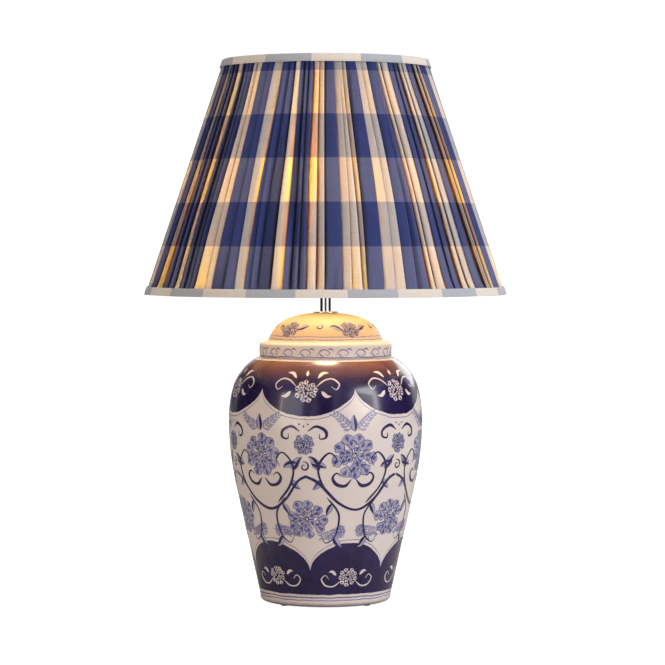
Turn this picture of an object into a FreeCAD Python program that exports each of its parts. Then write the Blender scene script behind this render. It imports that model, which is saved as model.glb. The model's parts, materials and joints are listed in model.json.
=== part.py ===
import FreeCAD, Part
import math
import os
import re

import Sketcher
from FreeCAD import Placement, Rotation, Vector

# A ginger jar table lamp in millimetres. Up is +Z, and the origin is on the table under the jar's
# axis. The camera of the photograph stands on -Y, so the cord outlet faces +Y, at the back.

UP = Vector(0, 0, 1)
LAID_BACK = Rotation(Vector(1, 0, 0), -90)
LAID_RIGHT = Rotation(Vector(0, 1, 0), 90)

# Driving sizes. A name that ends in _r is a radius, and one in _gap is a clearance.
SIZES = {
    # felt pads and foot of the jar
    "pad_r": 4.5,
    "pad_thick": 1.5,
    "pad_count": 4,
    "foot_r": 76.5,
    "foot_side_r": 81.3,
    "foot_round": 7,
    "recess_r": 66,
    "recess_depth": 16,
    "recess_draft": 1,
    # body of the jar
    "jar_wall": 6,
    "floor_thick": 7,
    "floor_round": 10,
    "jar_height": 302.8,
    "belly_r": 120.6,
    "belly_drop": 78.3,
    "flank_inset": 8.6,
    "flank_drop": 78,
    "shoulder_inset": 3.8,
    "shoulder_rise": 36,
    "ledge_margin": 3.6,
    "neck_r": 76.4,
    "neck_height": 11.7,
    # lid
    "lid_skirt": 5.2,
    "lid_edge": 2.2,
    "lid_band": 13,
    "lid_round": 4,
    "lid_wall": 6,
    "lid_neck_gap": 0.6,
    "lid_neck_room": 3,
    "dome_r": 70.6,
    "dome_cove": 4.5,
    "dome_side_r": 48,
    "dome_side_rise": 24.5,
    "dome_rise": 31.3,
    "crown_r": 17,
    # tie rod and its fastenings
    "rod_r": 5,
    "rod_wall": 1.4,
    "rod_gap": 0.4,
    "thread_gap": 0.05,
    "rod_below_nut": 1,
    "rod_in_holder": 6.5,
    "nut_flats": 17,
    "nut_thick": 5,
    "washer_r": 17,
    "washer_thick": 1.6,
    "cushion_r": 19,
    "cushion_thick": 1.5,
    # cord outlet
    "bush_height": 9.5,
    "bush_r": 4.5,
    "bush_bore_r": 3.5,
    "bush_gap": 0.1,
    "bush_flange_r": 6.4,
    "bush_flange_thick": 2,
    "bush_flange_edge": 0.8,
    "bush_inside": 2,
    "bush_seat_depth": 1.2,
    # disc and stem
    "cap_cushion_r": 14,
    "cap_cushion_thick": 0.8,
    "disc_r": 16,
    "disc_thick": 1.6,
    "disc_edge": 0.6,
    "disc_slope": 0.4,
    "disc_land": 1,
    "stem_gap": 0.7,
    "stem_wall": 1.1,
    "stem_length": 51,
    # lampholder
    "holder_wall": 1.3,
    "holder_neck_wall": 2.6,
    "holder_neck_length": 7,
    "holder_r": 20,
    "holder_dome": 9.5,
    "holder_flare": 0.3,
    "holder_barrel": 42,
    "holder_seat_height": 13,
    "holder_seat_width": 4.5,
    "holder_seat_thick": 1.5,
    "holder_rim_edge": 0.5,
    "grub_r": 1.5,
    "grub_length": 2.6,
    "core_gap": 0.2,
    "core_lift": 1,
    "core_height": 14.5,
    "core_cup": 5,
    "shell_r": 14.4,
    "shell_wall": 0.6,
    "shell_lift": 0.4,
    "shell_length": 25.5,
    "contact_width": 5,
    "contact_length": 13,
    "contact_rise": 1.5,
    "contact_thick": 0.5,
    "contact_gap": 0.3,
    "terminal_r": 1.6,
    "terminal_head_r": 2.8,
    "terminal_head": 1.8,
    "terminal_length": 6,
    "terminal_end_gap": 0.5,
    "terminal_spread": 9,
    "shade_ring_width": 6.5,
    "shade_ring_height": 5,
    "shade_ring_edge": 0.8,
    # push bar of the switch
    "bar_r": 3,
    "bar_gap": 0.4,
    "bar_length": 64,
    "bar_height": 6,
    "bar_travel": 6,
    "bar_edge": 0.8,
    # bulb
    "bulb_r": 30,
    "bulb_height": 105,
    "bulb_neck_r": 12.5,
    "bulb_neck_height": 27,
    "bulb_glass_wall": 1,
    "bulb_crown_r": 0.6,
    "bulb_cap_r": 13.3,
    "bulb_cap_wall": 0.4,
    "bulb_cap_length": 21,
    "bulb_cap_height": 5,
    "bulb_lap": 6,
    "insulator_thick": 2,
    "insulator_land": 1,
    "bulb_tip_r": 4.5,
    "bulb_tip_height": 1.4,
    "bulb_tip_edge": 0.7,
    # shade carrier
    "carrier_gap": 0.15,
    "carrier_plate": 1.5,
    "carrier_plate_width": 7.4,
    "carrier_bore_gap": 0.6,
    "carrier_wire_r": 1.6,
    "duplex_drop": 52,
    "carrier_ring_r": 50,
    "carrier_ring_wire_r": 2,
    "carrier_foot": 8,
    "carrier_bend_r": 7,
    "carrier_legs": 4,
    # shade frame
    "shade_bottom_r": 226,
    "shade_top_r": 128.4,
    "shade_height": 291,
    "shade_clearance": 21,
    "ring_wire_r": 1.75,
    "strut_wire_r": 1.2,
    "strut_count": 8,
    "weld_gap": 0.05,
    "duplex_gap": 0.3,
    "duplex_skirt_gap": 1.3,
    "duplex_thick": 1.4,
    "duplex_lap": 4.5,
    "duplex_skirt": 8,
    "arm_wire_r": 1.5,
    "arm_count": 3,
    "arm_height": 4,
    # shade cloth
    "cloth_gap": 0.3,
    "trim_width": 10,
    "trim_thick": 1.2,
    "fold_count": 112,
    "fold_beats": 43,
    "fold_uneven": 0.2,
    "fold_sides": 6,
    "fold_depth": 3.2,
    "cover_thick": 1.5,
    "lining_thick": 0.8,
    "lining_gap": 0.3,
    "lining_top_gap": 2.4,
}

doc = FreeCAD.newDocument("GingerJarLamp")
sheet = doc.addObject("Spreadsheet::Sheet", "Sizes")
for row, (size_name, size_value) in enumerate(SIZES.items(), start=1):
    sheet.set(f"A{row}", size_name)
    sheet.set(f"B{row}", str(size_value))
    sheet.setAlias(f"B{row}", size_name)
doc.recompute()

subparts = []


def number(expression):
    """The value of an expression in the sheet's names."""
    return float(sheet.evalExpression(str(expression)))


def bound(expression):
    """The same expression as another object writes it."""
    def full_name(match):
        word = match.group()
        return "Sizes." + word if word in SIZES else word
    return re.sub(r"[a-z][a-z_]*", full_name, str(expression))


def bind(thing, **properties):
    for name, expression in properties.items():
        thing.setExpression(name, bound(expression))


def subpart(thing, label):
    """Takes an object in as one piece of the lamp."""
    thing.Label = label
    subparts.append(thing)
    return thing


# Heights above the table that several pieces share, from the bottom to the top.
FOOT = "(pad_thick)"
FLOOR_UNDER = f"({FOOT} + recess_depth)"
FLOOR_TOP = f"({FLOOR_UNDER} + floor_thick)"
LEDGE = f"({FOOT} + jar_height)"
BELLY = f"({LEDGE} - belly_drop)"
DOME_BASE = f"({LEDGE} + lid_edge + lid_band + lid_round + dome_cove)"
CROWN = f"({DOME_BASE} + dome_rise)"
DISC = f"({CROWN} + cap_cushion_thick)"
STEM = f"({DISC} + disc_thick)"
HOLDER = f"({STEM} + stem_length)"
BARREL = f"({HOLDER} + holder_neck_length + holder_dome)"
BAR = f"({BARREL} + bar_height)"
SEAT = f"({BARREL} + holder_seat_height + holder_seat_thick)"
PLATE = f"({SEAT} + carrier_gap)"
CONTACT = f"({BARREL} + core_height)"
BULB = f"({CONTACT} + contact_rise + contact_thick + contact_gap)"
SHADE_BOTTOM = f"({CROWN} + cap_cushion_thick + disc_thick + shade_clearance)"
SHADE_TOP = f"({SHADE_BOTTOM} + shade_height)"
SHADE_SLOPE = "((shade_bottom_r - shade_top_r) / shade_height)"
CARRIER_RING = f"({SHADE_TOP} - duplex_drop)"
DUPLEX_TOP = f"({CARRIER_RING} + carrier_ring_wire_r + duplex_gap + duplex_thick)"

# Radii that follow from what a piece goes round.
LID_R = "(neck_r + lid_neck_gap + lid_skirt)"
LEDGE_R = f"({LID_R} + ledge_margin)"
ROD_HOLE_R = "(rod_r + rod_gap)"
STEM_R = "(rod_r + stem_gap + stem_wall)"
HOLDER_NECK_R = "(rod_r + holder_neck_wall)"
PLATE_R = "(holder_r + carrier_bore_gap + carrier_plate_width)"
DUPLEX_R = "(carrier_ring_r + carrier_ring_wire_r + duplex_skirt_gap + duplex_thick)"


# ---- sketching ---------------------------------------------------------------------------------

def origin_plane(body, role):
    return next(item for item in body.Origin.OriginFeatures if item.Role == role)


def new_body(label):
    return subpart(doc.addObject("PartDesign::Body", label), label)


def new_sketch(body, name, role, offset=0):
    """A sketch on one of the body's origin planes, moved along the plane's normal."""
    sketch = body.newObject("Sketcher::SketchObject", f"{body.Label}_{name}")
    sketch.AttachmentSupport = [(origin_plane(body, role), "")]
    sketch.MapMode = "FlatFace"
    sketch.AttachmentOffset = Placement(Vector(0, 0, offset), Rotation())
    return sketch


def fix_point(sketch, place, end, across, up):
    """Holds a point of the sketch at two sizes of the sheet."""
    for kind, expression, axis in (("DistanceX", across, -2), ("DistanceY", up, -1)):
        size = number(expression)
        if abs(size) < 1e-9:
            sketch.addConstraint(Sketcher.Constraint("PointOnObject", place, end, axis))
            continue
        index = sketch.addConstraint(Sketcher.Constraint(kind, -1, 1, place, end, size))
        sketch.setExpression(f"Constraints[{index}]", bound(expression))


def ends_of(sketch, place, start):
    """Which end of a stretch is its start: an arc is kept anticlockwise, whichever way it ran."""
    if sketch.getPoint(place, 1).distanceToPoint(start) < 1e-6:
        return 1, 2
    return 2, 1


def arc_end_heading(chord, heading):
    return chord * (2 * heading.dot(chord)) - heading


def smooth_middle(start, end, heading):
    """The middle of the arc that leaves start along heading and reaches end."""
    chord = (end - start).normalize()
    aside = heading - chord * heading.dot(chord)
    turn = math.acos(max(-1, min(1, heading.dot(chord))))
    rise = start.distanceToPoint(end) / 2 * math.tan(turn / 2)
    return (start + end) * 0.5 + aside.normalize() * rise


def draw(sketch, corners, closed=True):
    """Draws an outline through corners, each (across, up) or (across, up, way) in the sheet's names.

    way shapes the stretch to the next corner: a pair is a point that an arc passes through, and
    "smooth" is an arc that goes on in the direction of the stretch before it.
    """
    points = [Vector(number(corner[0]), number(corner[1]), 0) for corner in corners]
    count = len(corners) if closed else len(corners) - 1
    heading = None
    last = None
    first = None
    for index in range(count):
        start = points[index]
        end = points[(index + 1) % len(points)]
        way = corners[index][2] if len(corners[index]) > 2 else None
        chord = (end - start).normalize()
        if way is None:
            place = sketch.addGeometry(Part.LineSegment(start, end), False)
            heading = chord
        elif way == "smooth":
            middle = smooth_middle(start, end, heading)
            place = sketch.addGeometry(Part.Arc(start, middle, end), False)
            heading = arc_end_heading(chord, heading)
        else:
            middle = Vector(number(way[0]), number(way[1]), 0)
            place = sketch.addGeometry(Part.Arc(start, middle, end), False)
            point = sketch.addGeometry(Part.Point(middle), True)
            fix_point(sketch, point, 1, way[0], way[1])
            sketch.addConstraint(Sketcher.Constraint("PointOnObject", point, 1, place))
            heading = arc_end_heading((end - middle).normalize(), arc_end_heading(
                (middle - start).normalize(), start_heading(start, middle, end)))
        here = ends_of(sketch, place, start)
        joint = "Tangent" if way == "smooth" else "Coincident"
        if last is not None:
            sketch.addConstraint(Sketcher.Constraint(joint, *last, place, here[0]))
        else:
            first = (place, here[0])
        fix_point(sketch, place, here[0], corners[index][0], corners[index][1])
        last = (place, here[1])
    if closed:
        sketch.addConstraint(Sketcher.Constraint("Coincident", *last, *first))
    else:
        fix_point(sketch, last[0], last[1], corners[-1][0], corners[-1][1])
    doc.recompute()
    return sketch


def start_heading(start, middle, end):
    """The direction in which the arc through three points leaves the first."""
    first = (middle - start).normalize()
    second = (end - middle).normalize()
    whole = (end - start).normalize()
    # the angle between start's heading and its chord equals the turn that the other chord sees
    turn = math.atan2(whole.cross(second).z, whole.dot(second))
    return Rotation(UP, -math.degrees(turn)).multVec(first)


def turned(label, corners):
    """A piece turned about the lamp's axis from an outline of (radius, height) corners."""
    body = new_body(label)
    turn(body, "PartDesign::Revolution", "outline", corners)
    return body


def turn(body, kind, name, corners):
    """Adds to a body, or grooves it, by turning an outline about the lamp's axis."""
    sketch = draw(new_sketch(body, name, "XZ_Plane"), corners)
    feature = body.newObject(kind, f"{body.Label}_{name}_turned")
    feature.Profile = sketch
    feature.ReferenceAxis = (sketch, ["V_Axis"])
    feature.Angle = 360
    doc.recompute()
    return feature


def washer(label, inner, outer, bottom, thick):
    top = f"{bottom} + {thick}"
    return turned(label, [(inner, bottom), (outer, bottom), (outer, top), (inner, top)])


def circle(sketch, centre, radius):
    middle = Vector(number(centre[0]), number(centre[1]), 0)
    place = sketch.addGeometry(Part.Circle(middle, UP, number(radius)), False)
    fix_point(sketch, place, 3, *centre)
    index = sketch.addConstraint(Sketcher.Constraint("Radius", place, number(radius)))
    sketch.setExpression(f"Constraints[{index}]", bound(radius))
    doc.recompute()


def round_cut(body, name, role, centre, radius, start, depth, towards):
    """Cuts a round hole from a plane start away from the origin, over depth, towards +1 or -1."""
    sketch = new_sketch(body, name, role, offset=number(start))
    bind(sketch, **{"AttachmentOffset.Base.z": start})
    circle(sketch, centre, radius)
    before = body.Shape.Volume
    pocket = body.newObject("PartDesign::Pocket", f"{body.Label}_{name}_cut")
    pocket.Profile = sketch
    pocket.Type = "Length"
    bind(pocket, Length=depth)
    # a pocket goes against its sketch's normal unless it is reversed
    pocket.Reversed = towards > 0
    doc.recompute()
    if body.Shape.Volume > before - 1e-3:
        raise ValueError(f"{body.Label}: {name} cuts nothing")
    return pocket


# ---- base --------------------------------------------------------------------------------------

FLANK_R = "(belly_r - flank_inset)"
FLANK = f"({BELLY} - flank_drop)"
SHOULDER = f"({BELLY} + shoulder_rise)"
FOOT_EDGE = f"({FOOT} + foot_round)"


def flank_radius(height):
    """The outer radius of the straight flank at a height."""
    return (f"(foot_side_r + ({FLANK_R} - foot_side_r) * ({height} - {FOOT_EDGE})"
            f" / ({FLANK} - {FOOT_EDGE}))")


def make_felt_pads():
    """Four felt discs glued under the foot ring."""
    pads = []
    count = int(number("pad_count"))
    radius = number("(foot_r + recess_r) / 2")
    for index in range(count):
        pad = doc.addObject("Part::Cylinder", f"felt_pad_{index + 1}")
        bind(pad, Radius="pad_r", Height="pad_thick")
        angle = math.radians(45 + 360 * index / count)
        pad.Placement.Base = Vector(radius * math.cos(angle), radius * math.sin(angle), 0)
        pads.append(pad)
    group = doc.addObject("Part::Compound", "felt_pads")
    group.Links = pads
    subpart(group, "felt_pads")


def make_jar_body():
    """The jar: a turned outside, a turned hollow, a foot recess, a rod hole and a cord hole."""
    body = new_body("jar_body")
    neck_top = f"({LEDGE} + neck_height)"
    foot_bulge = ("foot_r + 0.78 * (foot_side_r - foot_r)", f"{FOOT} + 0.3 * foot_round")
    turn(body, "PartDesign::Revolution", "outside", [
        ("0", FOOT),
        ("foot_r", FOOT, foot_bulge),
        ("foot_side_r", FOOT_EDGE),
        (FLANK_R, FLANK, "smooth"),
        ("belly_r", BELLY, "smooth"),
        ("belly_r - shoulder_inset", SHOULDER, "smooth"),
        (LEDGE_R, LEDGE),
        ("neck_r", LEDGE),
        ("neck_r", neck_top),
        ("0", neck_top),
    ])
    floor_corner = f"({FLOOR_TOP} + floor_round)"
    inner_flank = flank_radius(floor_corner)
    floor_r = f"({inner_flank} - jar_wall - floor_round)"
    turn(body, "PartDesign::Groove", "hollow", [
        ("0", FLOOR_TOP),
        (floor_r, FLOOR_TOP),
        (f"{inner_flank} - jar_wall", floor_corner),
        (f"{FLANK_R} - jar_wall", FLANK, "smooth"),
        ("belly_r - jar_wall", BELLY, "smooth"),
        ("belly_r - shoulder_inset - jar_wall", f"{SHOULDER} - jar_wall / 2", "smooth"),
        ("neck_r - jar_wall", f"{LEDGE} - jar_wall"),
        ("neck_r - jar_wall", neck_top),
        ("0", neck_top),
    ])
    turn(body, "PartDesign::Groove", "recess", [
        ("0", FOOT),
        ("recess_r", FOOT),
        ("recess_r - recess_draft", FLOOR_UNDER),
        ("0", FLOOR_UNDER),
    ])
    outlet = ("0", "bush_height")
    seat = "-(foot_side_r - bush_seat_depth)"
    round_cut(body, "rod_hole", "XY_Plane", ("0", "0"), ROD_HOLE_R, FLOOR_UNDER, "2 * floor_thick", 1)
    round_cut(body, "cord_hole", "XZ_Plane", outlet, "bush_r + bush_gap", "0", "2 * foot_r", -1)
    round_cut(body, "bush_seat", "XZ_Plane", outlet, "bush_flange_r + bush_gap", seat, "foot_r", -1)


def make_jar_lid():
    """The lid: a rounded rim band over the neck, a cove, and a dome with a flat crown."""
    band_bottom = f"({LEDGE} + lid_edge)"
    band_top = f"({band_bottom} + lid_band)"
    cove_top_r = f"({LID_R} - lid_round)"
    cove_bottom = f"({band_top} + lid_round)"
    dome_side = f"({DOME_BASE} + dome_side_rise)"
    inner_r = "(neck_r + lid_neck_gap)"
    roof = f"({LEDGE} + neck_height + lid_neck_room)"
    band_bend = (f"{LID_R} - 0.25 * lid_round", f"{band_top} + 0.72 * lid_round")
    cove_bend = (f"dome_r + 0.3 * ({cove_top_r} - dome_r)",
                 f"{cove_bottom} + 0.25 * ({DOME_BASE} - {cove_bottom})")
    side_bend = ("dome_side_r + 0.68 * (dome_r - dome_side_r)", f"{DOME_BASE} + 0.5 * dome_side_rise")
    crown_bend = ("0.65 * dome_side_r", f"{CROWN} - 0.3 * (dome_rise - dome_side_rise)")
    inner_side = "(dome_side_r + 0.35 * (dome_r - dome_side_r) - lid_wall)"
    turned("jar_lid", [
        (ROD_HOLE_R, CROWN),
        (ROD_HOLE_R, f"{CROWN} - lid_wall"),
        ("crown_r", f"{CROWN} - lid_wall"),
        (inner_side, f"{dome_side} - lid_wall"),
        ("dome_r - lid_wall", DOME_BASE),
        ("dome_r - lid_wall", roof),
        (inner_r, roof),
        (inner_r, LEDGE),
        (f"{LID_R} - lid_edge", LEDGE),
        (LID_R, band_bottom),
        (LID_R, band_top, band_bend),
        (cove_top_r, cove_bottom, cove_bend),
        ("dome_r", DOME_BASE, side_bend),
        ("dome_side_r", dome_side, crown_bend),
        ("crown_r", CROWN),
    ])


def make_tie_rod():
    """The hollow threaded rod from under the jar's floor to the lampholder, and what it pulls on."""
    cushion_under = f"({FLOOR_UNDER} - cushion_thick)"
    washer_under = f"({cushion_under} - washer_thick)"
    nut_under = f"({washer_under} - nut_thick)"
    rod_bottom = f"({nut_under} - rod_below_nut)"
    rod_length = f"({HOLDER} + rod_in_holder - {rod_bottom})"
    washer("threaded_rod", "rod_r - rod_wall", "rod_r", rod_bottom, rod_length)
    washer("base_cushion", ROD_HOLE_R, "cushion_r", cushion_under, "cushion_thick")
    washer("base_washer", ROD_HOLE_R, "washer_r", washer_under, "washer_thick")
    hexagon = doc.addObject("Part::Prism", "base_nut_hexagon")
    hexagon.Polygon = 6
    bind(hexagon, Circumradius="nut_flats / sqrt(3)", Height="nut_thick")
    bore = doc.addObject("Part::Cylinder", "base_nut_bore")
    bind(bore, Radius="rod_r + thread_gap", Height="nut_thick")
    for thing in (hexagon, bore):
        bind(thing, **{"Placement.Base.z": nut_under})
    nut = doc.addObject("Part::Cut", "base_nut")
    nut.Base = hexagon
    nut.Tool = bore
    subpart(nut, "base_nut")


def make_cord_bush():
    """The sleeve that lines the cord hole at the back of the foot ring, with a flange outside."""
    seat = "(foot_side_r - bush_seat_depth)"
    inside = "(recess_r - bush_inside)"
    body = new_body("cord_bush")
    sketch = draw(new_sketch(body, "outline", "XZ_Plane"), [
        ("bush_bore_r", inside),
        ("bush_r", inside),
        ("bush_r", seat),
        ("bush_flange_r", seat),
        ("bush_flange_r", f"{seat} + bush_flange_thick - bush_flange_edge"),
        ("bush_flange_r - bush_flange_edge", f"{seat} + bush_flange_thick"),
        ("bush_bore_r", f"{seat} + bush_flange_thick"),
    ])
    feature = body.newObject("PartDesign::Revolution", "cord_bush_turned")
    feature.Profile = sketch
    feature.ReferenceAxis = (sketch, ["V_Axis"])
    feature.Angle = 360
    # the sleeve is turned about its own axis and laid down along +Y
    body.Placement = Placement(Vector(0, 0, number("bush_height")), LAID_BACK)


def make_stem():
    """The washer and chrome disc on the lid's crown, and the tube that stands on the disc."""
    washer("cap_cushion", ROD_HOLE_R, "cap_cushion_r", CROWN, "cap_cushion_thick")
    turned("cap_disc", [
        (ROD_HOLE_R, DISC),
        ("disc_r", DISC),
        ("disc_r", f"{STEM} - disc_edge - disc_slope"),
        ("disc_r - disc_edge", f"{STEM} - disc_slope"),
        (f"{STEM_R} + disc_land", STEM),
        (ROD_HOLE_R, STEM),
    ])
    washer("stem_tube", f"{STEM_R} - stem_wall", STEM_R, STEM, "stem_length")


# ---- lampholder --------------------------------------------------------------------------------

def make_holder_base():
    """The domed cap that screws on the rod, with its grub screw."""
    rim_r = "(holder_r + holder_flare)"
    neck_top = f"({HOLDER} + holder_neck_length)"
    bore = "(rod_r + thread_gap)"
    bend = (f"0.62 * {rim_r} + 0.38 * {HOLDER_NECK_R}", f"{neck_top} + 0.3 * holder_dome")
    inner_bend_r = f"0.6 * {rim_r} + 0.4 * {HOLDER_NECK_R} - holder_wall"
    body = turned("holder_base", [
        (bore, HOLDER),
        (HOLDER_NECK_R, HOLDER),
        (HOLDER_NECK_R, neck_top, bend),
        (rim_r, BARREL),
        (f"{rim_r} - holder_wall", BARREL),
        (inner_bend_r, f"{neck_top} + 0.3 * holder_dome + holder_wall"),
        (HOLDER_NECK_R, f"{neck_top} + holder_wall"),
        (bore, f"{neck_top} + holder_wall"),
    ])
    height = f"{HOLDER} + holder_neck_length / 2"
    round_cut(body, "grub_hole", "XZ_Plane", ("0", height), "grub_r + thread_gap", "0", "holder_r", -1)
    screw = doc.addObject("Part::Cylinder", "holder_grub_screw")
    bind(screw, Radius="grub_r", Height="grub_length")
    screw.Placement = Placement(Vector(0, number(bore), number(height)), LAID_BACK)
    subpart(screw, "holder_grub_screw")


def make_holder_barrel():
    """The barrel, with the shoulder that carries the shade carrier and the holes of the push bar."""
    inner = "(holder_r - holder_wall)"
    shoulder = f"({BARREL} + holder_seat_height)"
    top = f"({BARREL} + holder_barrel)"
    body = turned("holder_barrel", [
        (inner, BARREL),
        ("holder_r", BARREL),
        ("holder_r", shoulder),
        ("holder_r + holder_seat_width", shoulder),
        ("holder_r + holder_seat_width", SEAT),
        ("holder_r", SEAT),
        ("holder_r", f"{top} - holder_rim_edge"),
        ("holder_r - holder_rim_edge", top),
        (inner, top),
    ])
    round_cut(body, "bar_hole_right", "YZ_Plane", ("0", BAR), "bar_r + bar_gap", "0", "2 * holder_r", 1)
    round_cut(body, "bar_hole_left", "YZ_Plane", ("0", BAR), "bar_r + bar_gap", "0", "2 * holder_r", -1)


def make_holder_core():
    """The insulating core: a block with the push bar's tunnel, and a cup round the screw shell."""
    outer = "(holder_r - holder_wall - core_gap)"
    block = f"({BARREL} + core_lift)"
    cup_top = f"({CONTACT} + core_cup)"
    cup_r = "(shell_r + core_gap)"
    body = turned("holder_core", [
        ("0", block),
        (outer, block),
        (outer, cup_top),
        (cup_r, cup_top),
        (cup_r, CONTACT),
        ("0", CONTACT),
    ])
    tunnel = "bar_r + bar_gap"
    round_cut(body, "tunnel_right", "YZ_Plane", ("0", BAR), tunnel, "0", "2 * holder_r", 1)
    round_cut(body, "tunnel_left", "YZ_Plane", ("0", BAR), tunnel, "0", "2 * holder_r", -1)
    # the screws stand in the cup's floor, clear of the push bar's tunnel
    for side, place in (("front", "-terminal_spread"), ("back", "terminal_spread")):
        round_cut(body, f"screw_hole_{side}", "XY_Plane", ("0", place), "terminal_r + thread_gap",
                  CONTACT, "terminal_length", -1)


def make_holder_contacts():
    """The threaded brass shell, the spring contact at its foot, and the two terminal screws."""
    bottom = f"({CONTACT} + terminal_head + shell_lift)"
    turned("screw_shell", [
        ("shell_r - shell_wall", bottom),
        ("shell_r", bottom),
        ("shell_r", f"{bottom} + shell_length"),
        ("shell_r - shell_wall", f"{bottom} + shell_length"),
    ])
    body = new_body("centre_contact")
    half = "(contact_length / 2)"
    under = f"({CONTACT} + weld_gap)"
    over = f"({under} + contact_thick)"
    sketch = draw(new_sketch(body, "strip", "XZ_Plane"), [
        (f"-{half}", under, ("0", f"{under} + contact_rise")),
        (half, under),
        (half, over, ("0", f"{over} + contact_rise")),
        (f"-{half}", over),
    ])
    pad = body.newObject("PartDesign::Pad", "centre_contact_pad")
    pad.Profile = sketch
    bind(pad, Length="contact_width")
    pad.Midplane = True
    screws = []
    for index, side in enumerate((-1, 1)):
        place = side * number("terminal_spread")
        head = doc.addObject("Part::Cylinder", f"terminal_head_{index}")
        bind(head, Radius="terminal_head_r", Height="terminal_head")
        head.Placement.Base = Vector(0, place, number(CONTACT))
        shank = doc.addObject("Part::Cylinder", f"terminal_shank_{index}")
        bind(shank, Radius="terminal_r", Height="terminal_length - terminal_end_gap")
        shank.Placement.Base = Vector(0, place, number(f"{CONTACT} - terminal_length + terminal_end_gap"))
        screw = doc.addObject("Part::Fuse", f"terminal_screw_{index}")
        screw.Base = head
        screw.Tool = shank
        screws.append(screw)
    group = doc.addObject("Part::Compound", "terminal_screws")
    group.Links = screws
    subpart(group, "terminal_screws")


def make_shade_ring():
    """The threaded ring that holds the shade carrier down on the barrel's shoulder."""
    bottom = f"({PLATE} + carrier_plate + carrier_gap)"
    top = f"({bottom} + shade_ring_height)"
    bore = "(holder_r + thread_gap)"
    rim = "(holder_r + shade_ring_width)"
    turned("shade_ring", [
        (bore, bottom),
        (f"{rim} - shade_ring_edge", bottom),
        (rim, f"{bottom} + shade_ring_edge"),
        (rim, f"{top} - shade_ring_edge"),
        (f"{rim} - shade_ring_edge", top),
        (bore, top),
    ])


def make_push_bar():
    """The round bar through the lampholder. At rest, with the lamp on, it stands out to the right."""
    body = new_body("push_bar")
    half = "(bar_length / 2)"
    sketch = draw(new_sketch(body, "outline", "XZ_Plane"), [
        ("0", f"-{half}"),
        ("bar_r - bar_edge", f"-{half}"),
        ("bar_r", f"-({half} - bar_edge)"),
        ("bar_r", f"{half} - bar_edge"),
        ("bar_r - bar_edge", half),
        ("0", half),
    ])
    feature = body.newObject("PartDesign::Revolution", "push_bar_turned")
    feature.Profile = sketch
    feature.ReferenceAxis = (sketch, ["V_Axis"])
    feature.Angle = 360
    body.Placement = Placement(Vector(number("bar_travel / 2"), 0, number(BAR)), LAID_RIGHT)


# ---- bulb --------------------------------------------------------------------------------------

def make_bulb():
    """A pear-shaped bulb: glass, screw cap, black insulator and tip."""
    tip_top = f"({BULB} + bulb_tip_height)"
    cap_bottom = f"({BULB} + bulb_cap_height)"
    cap_top = f"({cap_bottom} + bulb_cap_length)"
    globe = f"({BULB} + bulb_height - bulb_r)"
    neck = f"({BULB} + bulb_neck_height)"
    glass_bottom = f"({cap_top} - bulb_lap)"
    insulator_r = "(bulb_cap_r - bulb_cap_wall - weld_gap)"
    glass = new_body("bulb_glass")
    for kind, name, inset in (("PartDesign::Revolution", "outside", "0"),
                              ("PartDesign::Groove", "hollow", "bulb_glass_wall")):
        globe_r = f"(bulb_r - {inset})"
        neck_r = f"(bulb_neck_r - {inset})"
        # the neck's flare meets the globe below its widest place, and the globe's arc passes above it
        turn(glass, kind, name, [
            ("0", glass_bottom),
            (neck_r, glass_bottom),
            (neck_r, neck, "smooth"),
            (f"0.8 * {globe_r}", f"{globe} - 0.6 * {globe_r}",
             (f"0.96 * {globe_r}", f"{globe} + 0.28 * {globe_r}")),
            ("bulb_crown_r", f"{globe} + {globe_r}"),
            ("0", f"{globe} + {globe_r}"),
        ])
    turned("bulb_cap", [
        ("bulb_cap_r - bulb_cap_wall", cap_bottom),
        ("bulb_cap_r", cap_bottom),
        ("bulb_cap_r", cap_top),
        ("bulb_cap_r - bulb_cap_wall", cap_top),
    ])
    turned("bulb_insulator", [
        ("0", tip_top),
        ("bulb_tip_r + insulator_land", tip_top),
        (insulator_r, cap_bottom),
        (insulator_r, f"{cap_bottom} + insulator_thick"),
        ("0", f"{cap_bottom} + insulator_thick"),
    ])
    turned("bulb_contact", [
        ("0", BULB),
        ("bulb_tip_r - bulb_tip_edge", BULB),
        ("bulb_tip_r", f"{BULB} + bulb_tip_edge"),
        ("bulb_tip_r", tip_top),
        ("0", tip_top),
    ])


# ---- shade carrier -----------------------------------------------------------------------------

def make_wire_ring(label, radius, wire, height):
    ring = doc.addObject("Part::Torus", label)
    bind(ring, Radius1=radius, Radius2=wire, **{"Placement.Base.z": height})
    return subpart(ring, label)


def make_carrier_leg(label, angle):
    """A wire that leaves the plate's edge level, bends up and reaches the ring from below."""
    body = new_body(label)
    start_r = f"({PLATE_R} + weld_gap)"
    level = f"({PLATE} + carrier_plate / 2)"
    ring_under = f"({CARRIER_RING} - carrier_ring_wire_r - weld_gap)"
    corner_r = f"({PLATE_R} + carrier_foot)"
    lean = math.atan2(number(f"carrier_ring_r - {corner_r}"), number(f"{ring_under} - {level}"))
    # the bend takes up a tangent length on each side of the corner
    tangent = number("carrier_bend_r") * math.tan((math.pi / 2 - lean) / 2)
    bend_start = f"({corner_r} - {tangent})"
    rise_r = f"({corner_r} + {tangent * math.sin(lean)})"
    rise_up = f"({level} + {tangent * math.cos(lean)})"
    path = draw(new_sketch(body, "path", "XZ_Plane"), [
        (start_r, level),
        (bend_start, level, "smooth"),
        (rise_r, rise_up),
        ("carrier_ring_r", ring_under),
    ], closed=False)
    section = new_sketch(body, "section", "YZ_Plane", offset=number(start_r))
    bind(section, **{"AttachmentOffset.Base.z": start_r})
    circle(section, ("0", level), "carrier_wire_r")
    pipe = body.newObject("PartDesign::AdditivePipe", f"{label}_pipe")
    pipe.Profile = section
    pipe.Spine = path
    body.Placement = Placement(Vector(0, 0, 0), Rotation(UP, angle))


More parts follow.
